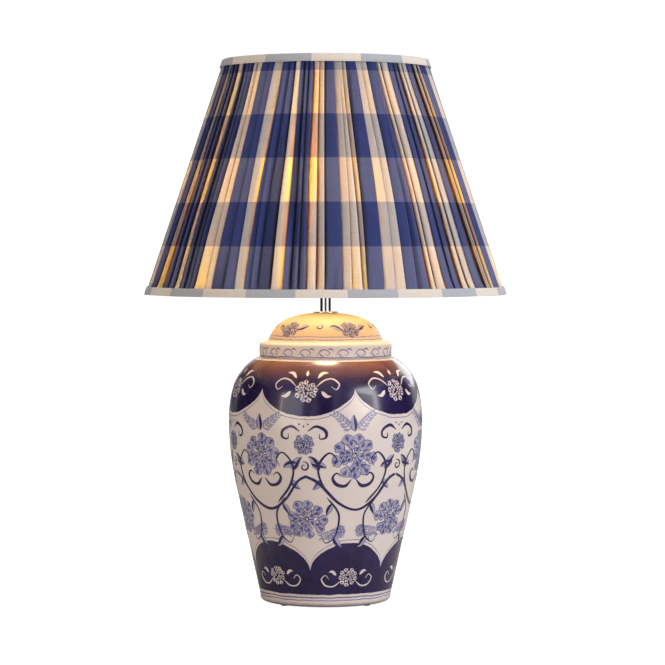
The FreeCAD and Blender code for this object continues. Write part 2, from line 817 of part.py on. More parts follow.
def make_carrier():
    """The plate under the shade ring, the wire legs, and the ring that the shade hangs on."""
    washer("carrier_base_ring", "holder_r + carrier_bore_gap", PLATE_R, PLATE, "carrier_plate")
    count = int(number("carrier_legs"))
    for index in range(count):
        make_carrier_leg(f"carrier_leg_{index + 1}", 45 + 360 * index / count)
    make_wire_ring("carrier_top_ring", "carrier_ring_r", "carrier_ring_wire_r", CARRIER_RING)


# ---- shade frame -------------------------------------------------------------------------------

# How far each layer of the shade lies inside the trims' outer face, level with it.
FOLD_DEEPEST = "(trim_thick + cloth_gap + fold_depth + cover_thick)"
SLANT = f"sqrt(1 + {SHADE_SLOPE} ^ 2)"
RING_INSET = f"({FOLD_DEEPEST} + cloth_gap + ring_wire_r * {SLANT})"
LINING_INSET = f"({RING_INSET} + ring_wire_r * {SLANT} + lining_gap)"
TRIM_INNER_INSET = f"({LINING_INSET} + lining_thick + cloth_gap)"
BOTTOM_RING = f"({SHADE_BOTTOM} + trim_thick + cloth_gap + ring_wire_r)"
TOP_RING = f"({SHADE_TOP} - trim_thick - cloth_gap - ring_wire_r)"


def shade_radius(height, inset="0"):
    """The radius at a height of the cone that lies inset within the trims' outer face."""
    return f"(shade_bottom_r - ({height} - {SHADE_BOTTOM}) * {SHADE_SLOPE} - {inset})"


def make_wire(label, start, end, radius):
    """A straight wire between two points."""
    wire = doc.addObject("Part::Cylinder", label)
    bind(wire, Radius=radius)
    wire.Height = start.distanceToPoint(end)
    wire.Placement = Placement(start, Rotation(UP, end - start))
    return subpart(wire, label)


def spoke(radius, height, angle):
    turn_angle = math.radians(angle)
    return Vector(radius * math.cos(turn_angle), radius * math.sin(turn_angle), height)


def make_shade_rings():
    """The two wire rings that carry the rims of the shade."""
    for label, height in (("shade_bottom_ring", BOTTOM_RING), ("shade_top_ring", TOP_RING)):
        make_wire_ring(label, shade_radius(height, RING_INSET), "ring_wire_r", height)


def make_struts():
    """Straight wires welded between the two rings, all round the frame."""
    count = int(number("strut_count"))
    clear = number("ring_wire_r + weld_gap")
    for index in range(count):
        angle = 360 * (index + 0.5) / count
        bottom = spoke(number(shade_radius(BOTTOM_RING, RING_INSET)), number(BOTTOM_RING), angle)
        top = spoke(number(shade_radius(TOP_RING, RING_INSET)), number(TOP_RING), angle)
        along = (top - bottom).normalize()
        start = bottom + along * clear
        make_wire(f"shade_strut_{index + 1}", start, top - along * clear, "strut_wire_r")


def make_duplex_ring():
    """The flanged ring that drops over the carrier's ring."""
    flange = f"({DUPLEX_TOP} - duplex_thick)"
    rim = f"({DUPLEX_TOP} - duplex_skirt)"
    inner = "(carrier_ring_r - duplex_lap)"
    skirt_r = f"({DUPLEX_R} - duplex_thick)"
    turned("duplex_ring", [
        (inner, flange),
        (skirt_r, flange),
        (skirt_r, rim),
        (DUPLEX_R, rim),
        (DUPLEX_R, flange),
        (skirt_r, DUPLEX_TOP),
        (inner, DUPLEX_TOP),
    ])


def make_spider_arms():
    """Wires from the duplex ring's skirt up and out to the top ring."""
    start_up = number(f"{DUPLEX_TOP} - duplex_skirt + arm_height")
    skirt_r = number(DUPLEX_R)
    end = spoke(number(shade_radius(TOP_RING, RING_INSET)), number(TOP_RING), 0)
    lean = math.atan2(end.z - start_up, end.x - skirt_r)
    start_r = skirt_r + number("arm_wire_r") * math.sin(lean) + number("weld_gap")
    start = Vector(start_r, 0, start_up)
    along = (end - start).normalize()
    finish = end - along * number("ring_wire_r + weld_gap")
    count = int(number("arm_count"))
    for index in range(count):
        angle = 90 + 360 * index / count
        inner_end = spoke(start.x, start.z, angle)
        outer_end = spoke(finish.x, finish.z, angle)
        make_wire(f"spider_arm_{index + 1}", inner_end, outer_end, "arm_wire_r")


# ---- shade cloth -------------------------------------------------------------------------------

def fold_angles():
    """Where one fold ends and the next begins, all round: gathers differ in width by a slow beat."""
    count = int(number("fold_count"))
    beats = int(number("fold_beats"))
    uneven = number("fold_uneven")
    step = 2 * math.pi / count
    return [(index + uneven * math.sin(index * beats * step)) * step for index in range(count + 1)]


def fold_points(crest_r, depth, height):
    """Points round the shade on a run of arcs, each bulging over one fold between two valleys."""
    points = []
    angles = fold_angles()
    for low, high in zip(angles, angles[1:]):
        valley, crest, next_valley = (
            spoke(radius, height, math.degrees(angle)) for radius, angle in
            ((crest_r - depth, low), (crest_r, (low + high) / 2), (crest_r - depth, high)))
        fold = Part.Arc(valley, crest, next_valley)
        points += fold.discretize(int(number("fold_sides")) + 1)[:-1]
    return points


def make_shade_cover():
    """The gathered cover: folds outside that run from rim to rim and widen towards the hem, over a
    smooth inner side. The wall between is the thickness of the cloth where it is gathered up."""
    inset = "(trim_thick + cloth_gap)"
    bottom = f"({SHADE_BOTTOM} + {inset})"
    top = f"({SHADE_TOP} - {inset})"
    low_crest = number(shade_radius(bottom, inset))
    low = fold_points(low_crest, number("fold_depth"), number(bottom))
    # the folds shrink with the shade's radius, so each strip between the rims is flat
    shrink = number(shade_radius(top, inset)) / low_crest
    high = [Vector(point.x * shrink, point.y * shrink, number(top)) for point in low]
    faces = [Part.Face(Part.makePolygon(low + low[:1])), Part.Face(Part.makePolygon(high + high[:1]))]
    for index in range(len(low)):
        corners = [low[index - 1], low[index], high[index], high[index - 1]]
        faces.append(Part.Face(Part.makePolygon(corners + corners[:1])))
    shell = Part.Shell(faces)
    shell.sewShape()
    outside = doc.addObject("Part::Feature", "shade_cover_outside")
    outside.Shape = Part.Solid(shell)
    hollow = doc.addObject("Part::Cone", "shade_cover_hollow")
    bind(hollow, Radius1=shade_radius(bottom, FOLD_DEEPEST), Radius2=shade_radius(top, FOLD_DEEPEST),
         Height=f"{top} - {bottom}", **{"Placement.Base.z": bottom})
    cover = doc.addObject("Part::Cut", "shade_cover")
    cover.Base = outside
    cover.Tool = hollow
    subpart(cover, "shade_cover")


def make_shade_lining():
    """The smooth cotton lining inside the frame."""
    bottom = f"({SHADE_BOTTOM} + trim_thick + cloth_gap)"
    # the top edge stays below the spider arms
    top = f"({TOP_RING} - ring_wire_r - lining_top_gap)"
    turned("shade_lining", [
        (shade_radius(bottom, f"({LINING_INSET} + lining_thick)"), bottom),
        (shade_radius(bottom, LINING_INSET), bottom),
        (shade_radius(top, LINING_INSET), top),
        (shade_radius(top, f"({LINING_INSET} + lining_thick)"), top),
    ])


def make_trims():
    """Flat bands folded over the two rims. The bottom one has an inner leg, the top one has none,
    because the spider arms pass there."""
    low = SHADE_BOTTOM
    low_web = f"({SHADE_BOTTOM} + trim_thick)"
    low_edge = f"({SHADE_BOTTOM} + trim_width)"
    inner_far = f"({TRIM_INNER_INSET} + trim_thick)"
    turned("bottom_trim", [
        (shade_radius(low), low),
        (shade_radius(low_edge), low_edge),
        (shade_radius(low_edge, "trim_thick"), low_edge),
        (shade_radius(low_web, "trim_thick"), low_web),
        (shade_radius(low_web, TRIM_INNER_INSET), low_web),
        (shade_radius(low_edge, TRIM_INNER_INSET), low_edge),
        (shade_radius(low_edge, inner_far), low_edge),
        (shade_radius(low, inner_far), low),
    ])
    high = SHADE_TOP
    high_web = f"({SHADE_TOP} - trim_thick)"
    high_edge = f"({SHADE_TOP} - trim_width)"
    turned("top_trim", [
        (shade_radius(high_edge), high_edge),
        (shade_radius(high), high),
        (shade_radius(high, TRIM_INNER_INSET), high),
        (shade_radius(high_web, TRIM_INNER_INSET), high_web),
        (shade_radius(high_web, "trim_thick"), high_web),
        (shade_radius(high_edge, "trim_thick"), high_edge),
    ])


# ---- the whole lamp ----------------------------------------------------------------------------

def check_objects():
    for thing in doc.Objects:
        if "Invalid" in thing.State or "Error" in thing.State:
            raise ValueError(f"{thing.Name} failed: {thing.State}")
    for thing in subparts:
        if thing.Shape.isNull() or not thing.Shape.isValid():
            raise ValueError(f"{thing.Label} has no valid shape")
        if thing.Shape.Volume <= 0:
            raise ValueError(f"{thing.Label} has no volume")


make_felt_pads()
make_jar_body()
make_jar_lid()
make_tie_rod()
make_cord_bush()
make_stem()
make_holder_base()
make_holder_barrel()
make_holder_core()
make_holder_contacts()
make_shade_ring()
make_push_bar()
make_bulb()
make_carrier()
make_shade_rings()
make_struts()
make_duplex_ring()
make_spider_arms()
make_shade_cover()
make_shade_lining()
make_trims()
doc.recompute()
check_objects()

os.makedirs("parts", exist_ok=True)
for thing in subparts:
    thing.Shape.exportStep(f"parts/{thing.Label}.step")
    box = thing.Shape.BoundBox
    print(f"{thing.Label:20s} {len(thing.Shape.Solids)} solids, {thing.Shape.Volume:12.1f} mm3,"
          f" z {box.ZMin:7.2f} to {box.ZMax:7.2f}, x {box.XMin:8.2f} to {box.XMax:7.2f}")
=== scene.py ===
import json
import math

import bpy
import numpy as np
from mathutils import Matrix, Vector


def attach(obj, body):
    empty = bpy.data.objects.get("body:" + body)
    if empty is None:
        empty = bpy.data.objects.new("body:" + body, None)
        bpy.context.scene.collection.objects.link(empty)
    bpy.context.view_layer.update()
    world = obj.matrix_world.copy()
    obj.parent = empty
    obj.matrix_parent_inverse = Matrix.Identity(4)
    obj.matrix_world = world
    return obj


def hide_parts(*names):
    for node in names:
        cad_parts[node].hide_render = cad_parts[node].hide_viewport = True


# A ginger jar table lamp. Objects are in metres; the outlines, strokes and folds that they are made
# from are in millimetres. +Z is up and the camera stands on -Y. Angles about the lamp's axis are 0 at
# the front and grow towards +X.

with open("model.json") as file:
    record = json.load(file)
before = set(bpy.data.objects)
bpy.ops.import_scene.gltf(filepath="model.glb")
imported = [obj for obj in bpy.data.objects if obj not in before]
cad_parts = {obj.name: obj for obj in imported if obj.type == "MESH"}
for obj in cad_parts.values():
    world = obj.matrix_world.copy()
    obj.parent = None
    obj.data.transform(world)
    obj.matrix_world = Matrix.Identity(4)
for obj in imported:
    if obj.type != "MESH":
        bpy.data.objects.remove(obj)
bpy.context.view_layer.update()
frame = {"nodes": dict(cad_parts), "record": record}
NODES = frame["nodes"]
MM = 0.001
TURN = 2 * math.pi
QUARTER = math.pi / 2
rng = np.random.default_rng(11)


# ---- camera and light ----

def put(name, data):
    """A new object in the scene."""
    made = bpy.data.objects.new(name, data)
    bpy.context.scene.collection.objects.link(made)
    return made


def make_camera():
    data = bpy.data.cameras.new("camera")
    data.sensor_width, data.lens = 36, 142
    data.clip_start, data.clip_end = 0.1, 100
    camera = put("camera", data)
    look_down, look_right = math.radians(2.015), math.radians(0.153)
    camera.location = (0, -3.27, 0.45)
    camera.rotation_euler = (QUARTER - look_down, 0, -look_right)
    bpy.context.scene.camera = camera


LAMP_MIDDLE = Vector((0, 0, 0.36))
BULB_MIDDLE, BULB_RADIUS = (0, 0, 0.521), 0.0306


def area_light(name, place, size, power, colour=(1, 1, 1)):
    """A rectangular light that faces the lamp."""
    data = bpy.data.lights.new(name, "AREA")
    data.shape = "RECTANGLE"
    data.size, data.size_y = size
    data.energy = power
    data.color = colour
    light = put(name, data)
    light.location = place
    light.rotation_euler = (LAMP_MIDDLE - Vector(place)).to_track_quat("-Z", "Y").to_euler()


def make_lights():
    area_light("key", (2.3, -1.7, 1.3), (1.3, 1.6), 51, (1, 0.98, 0.99))
    area_light("fill", (-2.4, -2.2, 1.0), (0.9, 1.4), 35, (1, 0.83, 0.68))
    area_light("top", (0.2, 0.3, 2.6), (1.6, 1.6), 9)
    area_light("rim", (1.2, 2.4, 1.2), (1.2, 1.2), 12)
    data = bpy.data.lights.new("filament", "POINT")
    data.energy = 5.7
    data.use_soft_falloff = False
    data.color = (1, 0.68, 0.3)
    data.shadow_soft_size = BULB_RADIUS
    light = put("filament", data)
    light.location = BULB_MIDDLE
    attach(light, "bulb")


def make_world():
    """White where the camera sees it, and a grey studio where the lamp does."""
    world = bpy.data.worlds.new("studio")
    bpy.context.scene.world = world
    world.use_nodes = True
    tree = world.node_tree
    tree.nodes.clear()
    out, seen, lit, place, split, spread, ramp, path, mix = (tree.nodes.new("ShaderNode" + kind) for kind in (
        "OutputWorld", "Background", "Background", "TexCoord", "SeparateXYZ", "MapRange", "ValToRGB",
        "LightPath", "MixShader"))
    seen.inputs["Color"].default_value = grey(1)
    seen.inputs["Strength"].default_value = 1.05
    lit.inputs["Strength"].default_value = 0.85
    spread.inputs["From Min"].default_value = -1
    # paler towards the right, with a dark doorway on each side
    set_steps(ramp, [(0, 0.25), (0.2, 0.35), (0.24, 0.12), (0.33, 0.1), (0.37, 0.75), (0.62, 0.95),
                     (0.66, 0.25), (0.72, 0.25), (0.76, 1.0), (1, 1.0)])
    for start, end in (
            (place.outputs["Generated"], split.inputs[0]), (split.outputs["X"], spread.inputs["Value"]),
            (spread.outputs["Result"], ramp.inputs["Fac"]), (ramp.outputs["Color"], lit.inputs["Color"]),
            (path.outputs["Is Camera Ray"], mix.inputs[0]), (lit.outputs[0], mix.inputs[1]),
            (seen.outputs[0], mix.inputs[2]), (mix.outputs[0], out.inputs["Surface"])):
        tree.links.new(start, end)
    bpy.context.scene.view_settings.view_transform = "Standard"


# ---- materials ----

def rgb(text):
    """Linear colour from a hexadecimal one."""
    parts = [int(text[i:i + 2], 16) / 255 for i in (0, 2, 4)]
    return tuple(c / 12.92 if c <= 0.04045 else ((c + 0.055) / 1.055) ** 2.4 for c in parts) + (1,)


def grey(value):
    return (value, value, value, 1)


def set_steps(ramp, steps):
    """Lays steps on a colour ramp: pairs of a place from 0 to 1 and a grey."""
    points = ramp.color_ramp.elements
    while len(points) < len(steps):
        points.new(0.5)
    for point, (at, shade) in zip(points, steps):
        point.position = at
        point.color = grey(shade)


class Paint:
    """A node material under construction. here is a point's place on the model, and map its place on
    the mesh's map."""

    def __init__(self, name):
        self.material = bpy.data.materials.new(name)
        self.material.use_nodes = True
        self.tree = self.material.node_tree
        self.tree.nodes.clear()
        self.out = self.node("OutputMaterial")
        place = self.node("TexCoord")
        self.here, self.map = place.outputs["Object"], place.outputs["UV"]

    def plug(self, socket, value):
        if isinstance(value, bpy.types.NodeSocket):
            self.tree.links.new(value, socket)
        else:
            socket.default_value = value

    def node(self, kind, **values):
        made = self.tree.nodes.new("ShaderNode" + kind)
        for name, value in values.items():
            self.plug(made.inputs[name.replace("_", " ")], value)
        return made

    def sum(self, operation, a, b=0.0, c=0.0):
        made = self.node("Math")
        made.operation = operation
        for socket, value in zip(made.inputs, (a, b, c)):
            self.plug(socket, value)
        return made.outputs[0]

    def times(self, a, b):
        return self.sum("MULTIPLY", a, b)

    def minus(self, a, b):
        return self.sum("SUBTRACT", a, b)

    def stretch(self, vector, scale):
        made = self.node("VectorMath")
        made.operation = "MULTIPLY"
        self.plug(made.inputs[0], vector)
        made.inputs[1].default_value = scale
        return made.outputs[0]

    def noise(self, vector, scale, detail=2.0, roughness=0.5):
        made = self.node("TexNoise", Vector=vector, Scale=scale, Detail=detail, Roughness=roughness)
        return made.outputs["Fac"]

    def mix(self, factor, a, b, blend="MIX"):
        made = self.node("Mix")
        made.data_type = "RGBA"
        made.blend_type = blend
        # the node has sockets for each kind of data; these are the ones for colours
        for socket, value in zip((0, 6, 7), (factor, a, b)):
            self.plug(made.inputs[socket], value)
        return made.outputs[2]

    def tint(self, colour, by):
        return self.mix(1.0, colour, by, "MULTIPLY")

    def ramp(self, factor, steps):
        made = self.node("ValToRGB", Fac=factor)
        set_steps(made, steps)
        return made.outputs["Color"]

    def span(self, value, low, high, to_low=0.0, to_high=1.0):
        made = self.node("MapRange", Value=value, From_Min=low, From_Max=high, To_Min=to_low, To_Max=to_high)
        return made.outputs["Result"]

    def bump(self, height, strength, distance):
        return self.node("Bump", Height=height, Strength=strength, Distance=distance).outputs["Normal"]

    def surface(self, colour, normal=None, glow=None, **values):
        """The principled shader, with colour on it and each other value on its own socket."""
        made = self.node("BsdfPrincipled", Base_Color=colour, **values)
        for name, value in (("Normal", normal), ("Emission Color", glow)):
            if value is not None:
                self.plug(made.inputs[name], value)
        return made.outputs[0]

    def finish(self, shader):
        self.tree.links.new(shader, self.out.inputs["Surface"])
        return self.material


def glaze_finish(paint, colour, rough=0.2, coat=0.22, gloss=0.5):
    wave = paint.noise(paint.here, 28, 2, 0.4)
    return paint.finish(paint.surface(
        colour, paint.bump(wave, 0.12, 0.002), Roughness=rough, IOR=1.48, Specular_IOR_Level=gloss,
        Coat_Weight=coat, Coat_Roughness=0.06))


def glaze_cream(paint):
    """The glaze's own tone, with soft clouds and a few iron specks."""
    cloud = paint.mix(paint.noise(paint.here, 16, 3), rgb("d3c8c4"), rgb("dcd2cf"))
    speck = paint.span(paint.noise(paint.here, 900, 1), 0.76, 0.8)
    return paint.mix(speck, cloud, rgb("b59b84"))


def ink_tone(paint, deep, thin, coverage=0.5):
    """Brushed cobalt: deep where the brush was full, thinner in streaks."""
    streak = paint.noise(paint.stretch(paint.here, (60, 60, 240)), 4, 3, 0.6)
    pool = paint.noise(paint.here, 38, 2)
    wet = paint.sum("ADD", paint.times(streak, 0.5), paint.times(pool, 0.5))
    return paint.mix(paint.span(wet, coverage - 0.14, coverage + 0.2), rgb(deep), rgb(thin))


def polar(paint):
    """Sockets for the height, shaken as by a hand, the angle about the axis, and the height as it is."""
    split = paint.node("SeparateXYZ", Vector=paint.here).outputs
    angle = paint.sum("ARCTAN2", split["X"], paint.times(split["Y"], -1.0))
    shake = paint.minus(paint.noise(paint.here, 55, 2), 0.5)
    brush = paint.minus(paint.noise(paint.here, 420, 2), 0.5)
    height = paint.sum("ADD", split["Z"], paint.times(shake, 0.0035))
    return paint.sum("ADD", height, paint.times(brush, 0.0009)), angle, split["Z"]


# the painting repeats so many times round the jar, and its scallops are turned by so much
REPEATS, LOBE_TURN = 6, 0.62
# a scalloped edge: how its lobes are turned, its height between them and how far they reach
SHOULDER_LOBES = (LOBE_TURN, 0.2705, -0.0335)
FOOT_LOBES = (LOBE_TURN + QUARTER, 0.0485, 0.0345)


def lobes(paint, angle, turn, base, reach):
    """The height of a scalloped edge."""
    wave = paint.sum("COSINE", paint.sum("MULTIPLY_ADD", angle, REPEATS / 2, turn))
    lobe = paint.sum("POWER", paint.sum("ABSOLUTE", wave), 0.55)
    return paint.sum("MULTIPLY_ADD", lobe, reach, base)


def rings(paint, height, low, high, soft, *lines):
    """Lines round the piece: pairs of shares of the way from low to high, with edges soft wide."""
    steps = [(0, 0)]
    for start, end in lines:
        steps += [(start, 0), (start + soft, 1), (end - soft, 1), (end, 0)]
    return paint.ramp(paint.span(height, low, high), steps)


def jar_glaze():
    paint = Paint("painted_glaze")
    height, angle, plain = polar(paint)
    # just under the neck the cobalt is painted a red brown: a painted warm reflection of the lamp's light on
    # the dark glaze
    ink = paint.mix(paint.span(height, 0.281, 0.303), ink_tone(paint, "190f33", "2e2459"), rgb("60282a"))
    line = ink_tone(paint, "4d4684", "8a86ad")
    over = paint.minus(height, lobes(paint, angle, *SHOULDER_LOBES))
    under = paint.minus(lobes(paint, angle, *FOOT_LOBES), height)
    # across the edge of a zone: ground, thin line, ground, solid colour
    band = paint.span(paint.sum("MAXIMUM", over, under), -0.008, 0.008)
    zone = paint.ramp(band, [(0, 0), (0.54, 0), (0.56, 1), (1, 1)])
    edge_line = paint.ramp(band, [(0, 0), (0.27, 0), (0.29, 1), (0.33, 1), (0.35, 0)])
    clear_foot = paint.span(height, 0.0172, 0.0176)
    clear_ledge = paint.span(plain, 0.3022, 0.3026, 1, 0)
    zone = paint.times(paint.times(zone, clear_foot), clear_ledge)
    foot_rings = rings(paint, height, 0.004, 0.024, 0.015, (0.27, 0.34), (0.44, 0.535))
    colour = paint.mix(paint.sum("MAXIMUM", edge_line, foot_rings), glaze_cream(paint), line)
    colour = paint.mix(zone, colour, ink)
    # the lowest few mm of the foot are painted darker: painted shade where the foot curves under
    foot_shade = paint.span(height, 0.0035, 0.0075, 1, 0)
    return glaze_finish(paint, paint.mix(foot_shade, colour, rgb("a59793")))


def lid_glaze():
    paint = Paint("painted_lid_glaze")
    height, _, plain = polar(paint)
    # the dome is painted warmer and yellower: painted light from the bulb above, which falls on it
    dome_lamplight = paint.mix(paint.span(plain, 0.32, 0.334), glaze_cream(paint), rgb("ccb498"))
    lines = rings(paint, height, 0.303, 0.335, 0.01, (0.1, 0.16), (0.76, 0.8), (0.88, 0.92))
    colour = paint.mix(lines, dome_lamplight, ink_tone(paint, "5b5488", "a39fbd"))
    return glaze_finish(paint, colour, rough=0.45, coat=0.03, gloss=0.2)


def brush_ink(name, deep, thin, coverage=0.5):
    paint = Paint(name)
    return glaze_finish(paint, ink_tone(paint, deep, thin, coverage))


def metal(name, colour, rough, grain=(1, 1, 1), mottle=0.05, bump=0.0):
    paint = Paint(name)
    here = paint.stretch(paint.here, grain)
    wear = paint.noise(here, 160, 3)
    tone = paint.mix(wear, tuple(c * (1 - mottle) for c in colour) + (1,), (*colour, 1))
    smear = paint.span(paint.noise(here, 60, 2), 0.3, 0.8, rough * 0.7, rough * 1.4)
    normal = paint.bump(wear, bump, 0.0002) if bump else None
    return paint.finish(paint.surface(tone, normal, Roughness=smear, Metallic=1.0))


def solid(name, dark, light, rough, scale=200, bump=0.1, **values):
    """A moulded, painted or rubber surface with a fine mottle."""
    paint = Paint(name)
    mottle = paint.noise(paint.here, scale, 3)
    tone = paint.mix(mottle, rgb(dark), rgb(light))
    rub = paint.span(paint.noise(paint.here, scale / 5, 2), 0.3, 0.7, rough * 0.85, rough * 1.15)
    return paint.finish(paint.surface(tone, paint.bump(mottle, bump, 0.0002), Roughness=rub, **values))


class Weave(Paint):
    """A cloth's material, with lengths across and along the cloth from the mesh's map, and the height
    of its threads, which lie pitch apart."""

    def __init__(self, name, pitch=0.0011):
        super().__init__(name)
        split = self.node("SeparateXYZ", Vector=self.map).outputs
        self.across, self.along = split["X"], split["Y"]
        warp, weft = (self.sum("SINE", self.times(way, TURN / pitch)) for way in (self.across, self.along))
        self.height = self.times(warp, weft)
        self.slub = self.sum("ADD", *(self.noise(self.stretch(self.map, scale), 1, 2)
                                      for scale in ((900, 40, 1), (40, 900, 1))))

    def speckle(self, colour, amount):
        """The colour with uneven threads in it."""
        return self.tint(colour, self.span(self.slub, 0.7, 1.3, 1 - amount, 1 + amount))

    def parity(self, value):
        """1 in every second unit of value, 0 in the rest."""
        return self.span(self.sum("PINGPONG", self.sum("ADD", value, 0.5), 1.0), 0.495, 0.505)

    def cloth(self, colour, glow, share):
        """Ends a thin cloth that also passes light: share of it, a number or a socket, is from behind."""
        front = self.surface(colour, self.bump(self.height, 0.35, 0.0003), Roughness=0.85,
                             Sheen_Weight=0.25, Sheen_Roughness=0.5)
        through = self.node("BsdfTranslucent", Color=glow)
        mix = self.node("MixShader", Fac=share)
        self.tree.links.new(front, mix.inputs[1])
        self.tree.links.new(through.outputs[0], mix.inputs[2])
        return self.finish(mix.outputs[0])


STRIPES, STRIPE_MM = 56, 56
SQUARE = 0.0555   # the check's height on the cloth's map


def check_cloth():
    weave = Weave("check_cloth")
    warp = weave.parity(weave.sum("DIVIDE", weave.across, STRIPE_MM * MM))
    weft = weave.parity(weave.sum("DIVIDE", weave.along, SQUARE))
    pale = weave.mix(weft, rgb("f9f1ea"), rgb("ccd0d9"))
    navy = weave.mix(weft, rgb("7075a8"), rgb("33448f"))
    # painted shade: where a point lies deep between folds, its colour and the light let through are darkened
    depth = weave.node("Attribute")
    depth.attribute_name = "crease_shade"
    crease_shade = weave.span(depth.outputs["Fac"], 0.05, 0.7)
    colour = weave.speckle(weave.mix(warp, pale, navy), 0.12)
    colour = weave.mix(crease_shade, colour, weave.tint(colour, rgb("3a3234")))
    # the cloth lies closer and lets more light through in random places, and more towards the front left:
    # painted glow, set on the side where the key light is weakest
    round_rim = TURN / (STRIPES * STRIPE_MM * MM)
    side = weave.sum("COSINE", weave.sum("MULTIPLY_ADD", weave.across, round_rim, 0.7))
    cloud = weave.noise(weave.stretch(weave.map, (34, 2.2, 1)), 1, 1)
    thin_spots_and_glow_side = weave.span(weave.sum("MULTIPLY_ADD", side, 0.05, cloud), 0.485, 0.63)
    thin = weave.mix(weft, rgb("ffe852"), rgb("a4805a"))
    thick = weave.mix(weft, rgb("b8a382"), rgb("706c68"))
    dim = weave.mix(weft, rgb("242b45"), rgb("10162b"))
    # near the top the gathers crowd, and less light comes through them
    crowd = weave.span(weave.along, 0.1, 0.24, 1.0, 0.5)
    glow = weave.tint(weave.mix(warp, weave.mix(thin_spots_and_glow_side, thick, thin), dim), crowd)
    # painted shade in the creases, on the light let through as well
    glow = weave.mix(crease_shade, glow, weave.tint(glow, rgb("b87c50")))
    return weave.cloth(colour, glow, weave.span(weave.times(thin_spots_and_glow_side, crowd), 0.5, 1.0, 0.46, 0.72))


def lining_cloth():
    weave = Weave("lining_cloth", 0.0008)
    return weave.cloth(weave.speckle(rgb("f2ede2"), 0.04), rgb("fff9ee"), 0.75)


def trim_cloth(name, block, start):
    """A flat band cut from the same check: blocks so many degrees wide alternate, from the angle start."""
    weave = Weave(name)
    from_start = weave.minus(weave.across, math.radians(start))
    cool = weave.parity(weave.sum("DIVIDE", from_start, math.radians(block)))
    colour = weave.speckle(weave.mix(cool, rgb("e6dcd1"), rgb("b3b6be")), 0.1)
    return weave.cloth(colour, rgb("8a7460"), 0.12)


def lit_glass():
    paint = Paint("lit_opal_glass")
    height = paint.node("SeparateXYZ", Vector=paint.here).outputs["Z"]
    glow = paint.mix(paint.span(height, 0.466, 0.5, 0.35, 1.0), rgb("ffb45a"), rgb("ffe2b0"))
    tone = paint.mix(paint.noise(paint.here, 50, 2), rgb("f6ead6"), rgb("fff6e8"))
    return paint.finish(paint.surface(tone, glow=glow, Roughness=0.2, Emission_Strength=6.0))


# ---- turned shapes ----

def turned_by(vector, angle):
    return Vector((vector.x * math.cos(angle) - vector.y * math.sin(angle),
                   vector.x * math.sin(angle) + vector.y * math.cos(angle)))


def tangent_through(start, middle, end):
    """The direction in which the arc through three points leaves the first."""
    a, b = middle - start, end - start
    cross = 2 * (a.x * b.y - a.y * b.x)
    centre = Vector((b.y * a.length_squared - a.y * b.length_squared,
                     a.x * b.length_squared - b.x * a.length_squared)) / cross
    across = turned_by(-centre, QUARTER).normalized()
    return across if across.dot(a) > 0 else -across


def outline(corners, step_mm):
    """Points along an open outline of (r, z) corners in mm. A third item shapes the stretch to the next
    corner: a pair is a point on an arc, and "smooth" is an arc tangent to the stretch before."""
    run, heading = [], None
    for corner, following in zip(corners, corners[1:]):
        start, end = Vector(corner[:2]), Vector(following[:2])
        way = corner[2] if len(corner) > 2 else None
        chord = end - start
        ahead = chord.normalized()
        if way == "smooth":
            leave = heading
        else:
            leave = ahead if way is None else tangent_through(start, Vector(way), end)
        bend = math.atan2(leave.x * ahead.y - leave.y * ahead.x, leave.dot(ahead))
        count = max(1, math.ceil(chord.length / step_mm))
        for i in range(count):
            t = i / count
            reach = t if abs(bend) < 1e-6 else math.sin(bend * t) / math.sin(bend)
            run.append(start + turned_by(leave, bend * t) * (reach * chord.length))
        heading = turned_by(leave, 2 * bend)
    run.append(Vector(corners[-1][:2]))
    return np.array([(p.x, p.y) for p in run]) * MM


def ring_of(outside, rest, fine_mm, coarse_mm):
    """A closed outline: the outside in fine steps, then the rest, back to its start."""
    back = [outside[-1][:2], *rest, outside[0][:2]]
    return np.concatenate([outline(outside, fine_mm)[:-1], outline(back, coarse_mm)[:-1]])


def new_piece(name, points, faces, materials, body, sharp=35, uvs=None, face_slots=None):
    """A mesh object that rides on a body. uvs holds one pair for each point."""
    mesh = bpy.data.meshes.new(name)
    mesh.from_pydata([tuple(p) for p in points], [], [tuple(int(i) for i in f) for f in faces])
    if uvs is not None:
        layer = mesh.uv_layers.new(name="map")
        index = np.empty(len(mesh.loops), np.int32)
        mesh.loops.foreach_get("vertex_index", index)
        layer.data.foreach_set("uv", np.asarray(uvs, np.float32)[index].ravel())
    for material in materials:
        mesh.materials.append(material)
    if face_slots is not None:
        mesh.polygons.foreach_set("material_index", face_slots)
    mesh.polygons.foreach_set("use_smooth", [True] * len(mesh.polygons))
    if sharp:
        mesh.set_sharp_from_angle(angle=math.radians(sharp))
    mesh.validate()
    mesh.update()
    piece = put(name, mesh)
    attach(piece, body)
    return piece


def around(angles, radii, heights):
    """Points at angles about the axis."""
    return np.stack([np.sin(angles) * radii, -np.cos(angles) * radii, heights + 0 * angles], -1)


def grid_faces(rows, columns, close_rows=False, close_columns=False, first=0):
    """Quads over a grid of points that was laid row by row."""
    row = np.arange(rows if close_rows else rows - 1)[:, None]
    column = np.arange(columns if close_columns else columns - 1)[None, :]
    here, above, side = row * columns, (row + 1) % rows * columns, (column + 1) % columns
    quads = np.stack([here + column, here + side, above + side, above + column], -1)
    return quads.reshape(-1, 4) + first


def lathe(name, ring, material, segments):
    """Turns a closed outline of (r, z) points about the axis."""
    angles = np.linspace(0, TURN, segments, endpoint=False)
    points = around(angles[None, :], ring[:, :1], ring[:, 1:]).reshape(-1, 3)
    return new_piece(name, points, grid_faces(len(ring), segments, True, True), [material], "base")


